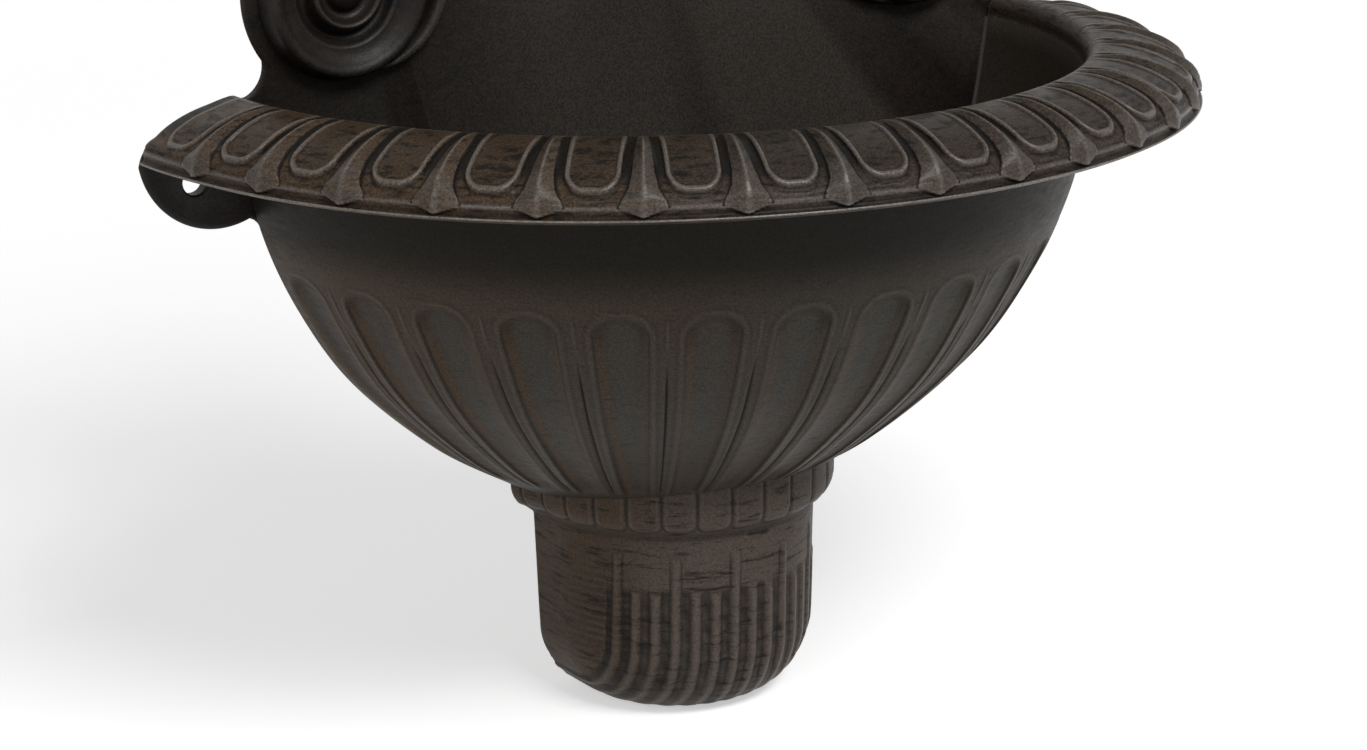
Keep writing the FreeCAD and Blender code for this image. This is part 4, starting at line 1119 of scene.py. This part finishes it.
def iron(name, base, brown, soot_and_shade, worn_and_highlight, scale, stretch, soot_from, rough, gloss, speckle):
    """Cast iron with a waxed, sooty patina, rust-brown tints and worn edges, and the painted light and
    shade that the mesh marks.
    """
    material, tree, shader = new_material(name)
    streak = noise(tree, scale, 8.0, stretch, 0.68)
    rust_and_warm_light, wear_and_painted_light, shape = mark(tree, "rust_and_warm_light"), mark(tree, "wear_and_painted_light"), hollowness(tree)
    patchy = span(tree, streak, 0.30, 0.55, 0.35, 1.0)
    rubbed_and_painted_highlight = worked(tree, "MULTIPLY", span(tree, wear_and_painted_light, 0.0, 1.0, 0.0, 1.0), patchy)
    # Each colour covers those before it. Soot lies in the streaks. Soot and painted shade lie in the
    # hollows that the mesh marks, and painted shade in what is hollow by its shape. The worn colour goes on
    # worn places and on painted highlights
    layers = [(span(tree, noise(tree, 11.0, 5.0), 0.38, 0.62, 0.0, 0.8), brown),
              (span(tree, rust_and_warm_light, 0.0, 1.0, 0.0, 0.8), RUST_AND_WARM_LIGHT),
              (span(tree, rust_and_warm_light, 0.0, -1.0, 0.0, 0.55), GREY),
              (span(tree, streak, soot_from, soot_from + 0.10, 0.0, 0.9), soot_and_shade),
              (span(tree, wear_and_painted_light, 0.0, -1.0, 0.0, 0.95), soot_and_shade),
              (span(tree, shape, 0.46, 0.497, 0.7, 0.0), soot_and_shade),
              (rubbed_and_painted_highlight, worn_and_highlight),
              (span(tree, shape, 0.51, 0.56, 0.0, 0.6), worn_and_highlight)]
    tone = base
    for share, colour in layers:
        tone = mixed(tree, share, tone, colour)
    speck = span(tree, noise(tree, 900.0, 2.0), 0.3, 0.7, 1.0 - speckle, 1.0 + speckle)
    tint = node(tree, "VectorMath", {0: tone, "Scale": speck}, operation="SCALE")
    dull = span(tree, streak, 0.35, 0.7, rough, rough + 0.16)
    bumps = [(noise(tree, 170.0, 4.0), 0.30, 0.0006), (noise(tree, 1100.0, 3.0), 0.45, 0.0003)]
    fill(tree, shader, {
        "Base Color": tint.outputs["Vector"],
        "Roughness": worked(tree, "MULTIPLY_ADD", rubbed_and_painted_highlight, -0.16, dull),
        "Specular IOR Level": span(tree, rubbed_and_painted_highlight, 0.0, 0.8, *gloss),
        "Normal": bumped(tree, bumps)})
    return material


def metal(name, colour, dull, rough):
    """A worked metal with tarnish in its hollows and fine brushing."""
    material, tree, shader = new_material(name)
    tone = mixed(tree, span(tree, noise(tree, 60.0, 5.0), 0.4, 0.65, 0.0, 0.7), colour, dull)
    brush = noise(tree, 500.0, 3.0)
    hollow = span(tree, hollowness(tree), 0.44, 0.5, 0.8, 0.0)
    fill(tree, shader, {
        "Base Color": mixed(tree, hollow, tone, dull),
        "Metallic": 1.0,
        "Roughness": span(tree, brush, 0.3, 0.7, rough, rough + 0.16),
        "Normal": bumped(tree, [(brush, 0.15, 0.0002)])})
    return material


def soft_material(name, colour, other, rough, scale):
    material, tree, shader = new_material(name)
    grain = noise(tree, scale, 4.0)
    tone = mixed(tree, span(tree, grain, 0.35, 0.65, 0.0, 1.0), colour, other)
    bumps = bumped(tree, [(grain, 0.3, 0.0003)])
    fill(tree, shader, {"Base Color": tone, "Roughness": rough, "Normal": bumps})
    return material


def paint(obj, material):
    obj.data.materials.clear()
    obj.data.materials.append(material)


def materials():
    finishes = {name: iron("iron_" + name, *values) for name, values in IRONS.items()}
    finishes["brass"] = metal("aged_brass", (0.45, 0.30, 0.12), (0.16, 0.10, 0.045), 0.26)
    finishes["zinc"] = metal("zinc_steel", (0.52, 0.53, 0.54), (0.30, 0.30, 0.30), 0.34)
    for name, label, colour, other, rough, scale in (
            ("rubber", "seal_rubber", (0.020, 0.020, 0.021), (0.030, 0.030, 0.031), 0.7, 400.0),
            ("joint", "joint_rubber", (0.022, 0.020, 0.018), (0.032, 0.029, 0.026), 0.5, 300.0),
            ("fibre", "fibre", (0.24, 0.07, 0.045), (0.30, 0.11, 0.07), 0.8, 600.0)):
        finishes[name] = soft_material(label, colour, other, rough, scale)
    return finishes


def finish_nodes(finishes):
    for finish, names in FINISH_NODES.items():
        for name in names:
            paint(frame["nodes"][name], finishes[finish])


def iron_pieces(finishes):
    """Every cast iron piece with its finish and the CAD node that it stands for."""
    basin = [basin_rim(), basin_bowl(), basin_floor(), basin_inside()]
    plate = [plate_blank()]
    plate_holes(plate[0])
    flat_faces(plate[0])
    for name, make in (("plate_volutes", volute), ("plate_stems", low_stem), ("plate_scrolls", top_scroll),
                       ("plate_eyes", top_eye)):
        plate.append(pair(name, make))
    plate += [border(), panel(), shell(), tap_boss()]
    corbel = corbel_piece()
    finish = ["rim"] + ["bowl"] * (len(basin) - 1) + ["plate"] * len(plate) + ["corbel"]
    for piece, name in zip(basin + plate + [corbel], finish):
        paint(piece, finishes[name])
    for piece in basin:
        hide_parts("basin")
    for piece in plate:
        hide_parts("back_plate")
    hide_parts("corbel")


# Stage

def stage_floor():
    """A pale floor that the camera sees as white, with the object's shadow on it."""
    points = [(x * FLOOR_REACH, y * FLOOR_REACH, FLOOR_Z) for x, y in ((-1, -1), (1, -1), (1, 1), (-1, 1))]
    floor = add_mesh("floor", points, [[0, 1, 2, 3]], smooth=False)
    floor.parent = None
    material, tree, shader = new_material("floor")
    fill(tree, shader, {"Base Color": FLOOR_WHITE, "Roughness": 0.9, "Specular IOR Level": 0.0})
    place = node(tree, "NewGeometry", {}).outputs["Position"]
    away = node(tree, "VectorMath", {0: place}, operation="LENGTH").outputs["Value"]
    lift = node(tree, "Emission", {"Strength": span(tree, away, FLOOR_NEAR, FLOOR_FAR, *FLOOR_LIFT)})
    plain = shader.outputs["BSDF"]
    lifted = node(tree, "AddShader", {0: plain, 1: lift.outputs["Emission"]})
    show(tree, plain, lifted.outputs["Shader"], "Material Output")
    paint(floor, material)


def show(tree, plain, seen, output):
    """Shows one shader to the camera, gloss and glass, while the other lights the object."""
    path = node(tree, "LightPath", {})
    share = path.outputs["Is Camera Ray"]
    for name in ("Is Glossy Ray", "Is Transmission Ray"):
        share = worked(tree, "MAXIMUM", share, path.outputs[name])
    choose = node(tree, "MixShader", {"Fac": share, 1: plain, 2: seen})
    put(tree, tree.nodes[output].inputs["Surface"], choose.outputs["Shader"])


def world():
    made = bpy.data.worlds.new("studio")
    bpy.context.scene.world = made
    made.use_nodes = True
    tree = made.node_tree
    plain = tree.nodes["Background"]
    fill(tree, plain, {"Color": (1.0, 1.0, 1.0), "Strength": DAYLIGHT})
    seen = node(tree, "Background", {})
    show(tree, plain.outputs["Background"], seen.outputs["Background"], "World Output")


def camera():
    data = bpy.data.cameras.new("camera")
    data.lens = CAMERA_LENS
    data.sensor_width = 36.0
    data.clip_end = 100.0
    obj = placed("camera", data)
    at = Matrix.Translation(CAMERA_AT)
    for degrees, axis in ((-CAMERA_AZIMUTH, "Z"), (90.0 - CAMERA_ELEVATION, "X"), (CAMERA_ROLL, "Z")):
        at = at @ Matrix.Rotation(math.radians(degrees), 4, axis)
    obj.matrix_world = at
    bpy.context.scene.camera = obj


def light():
    for name, at, size, power in LAMPS:
        data = bpy.data.lights.new(name, "AREA")
        data.shape = "RECTANGLE"
        data.size, data.size_y = size
        data.energy = power
        lamp = placed(name, data)
        lamp.location = at
        lamp.rotation_euler = (Vector(at) - Vector(LAMPS_AIM)).to_track_quat("Z", "Y").to_euler()
    bpy.context.scene.view_settings.view_transform = "Standard"


def main():
    finishes = materials()
    iron_pieces(finishes)
    strip = joint_strip()
    paint(strip, finishes["joint"])
    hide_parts("basin_gasket")
    finish_nodes(finishes)
    stage_floor()
    world()
    light()
    camera()


main()
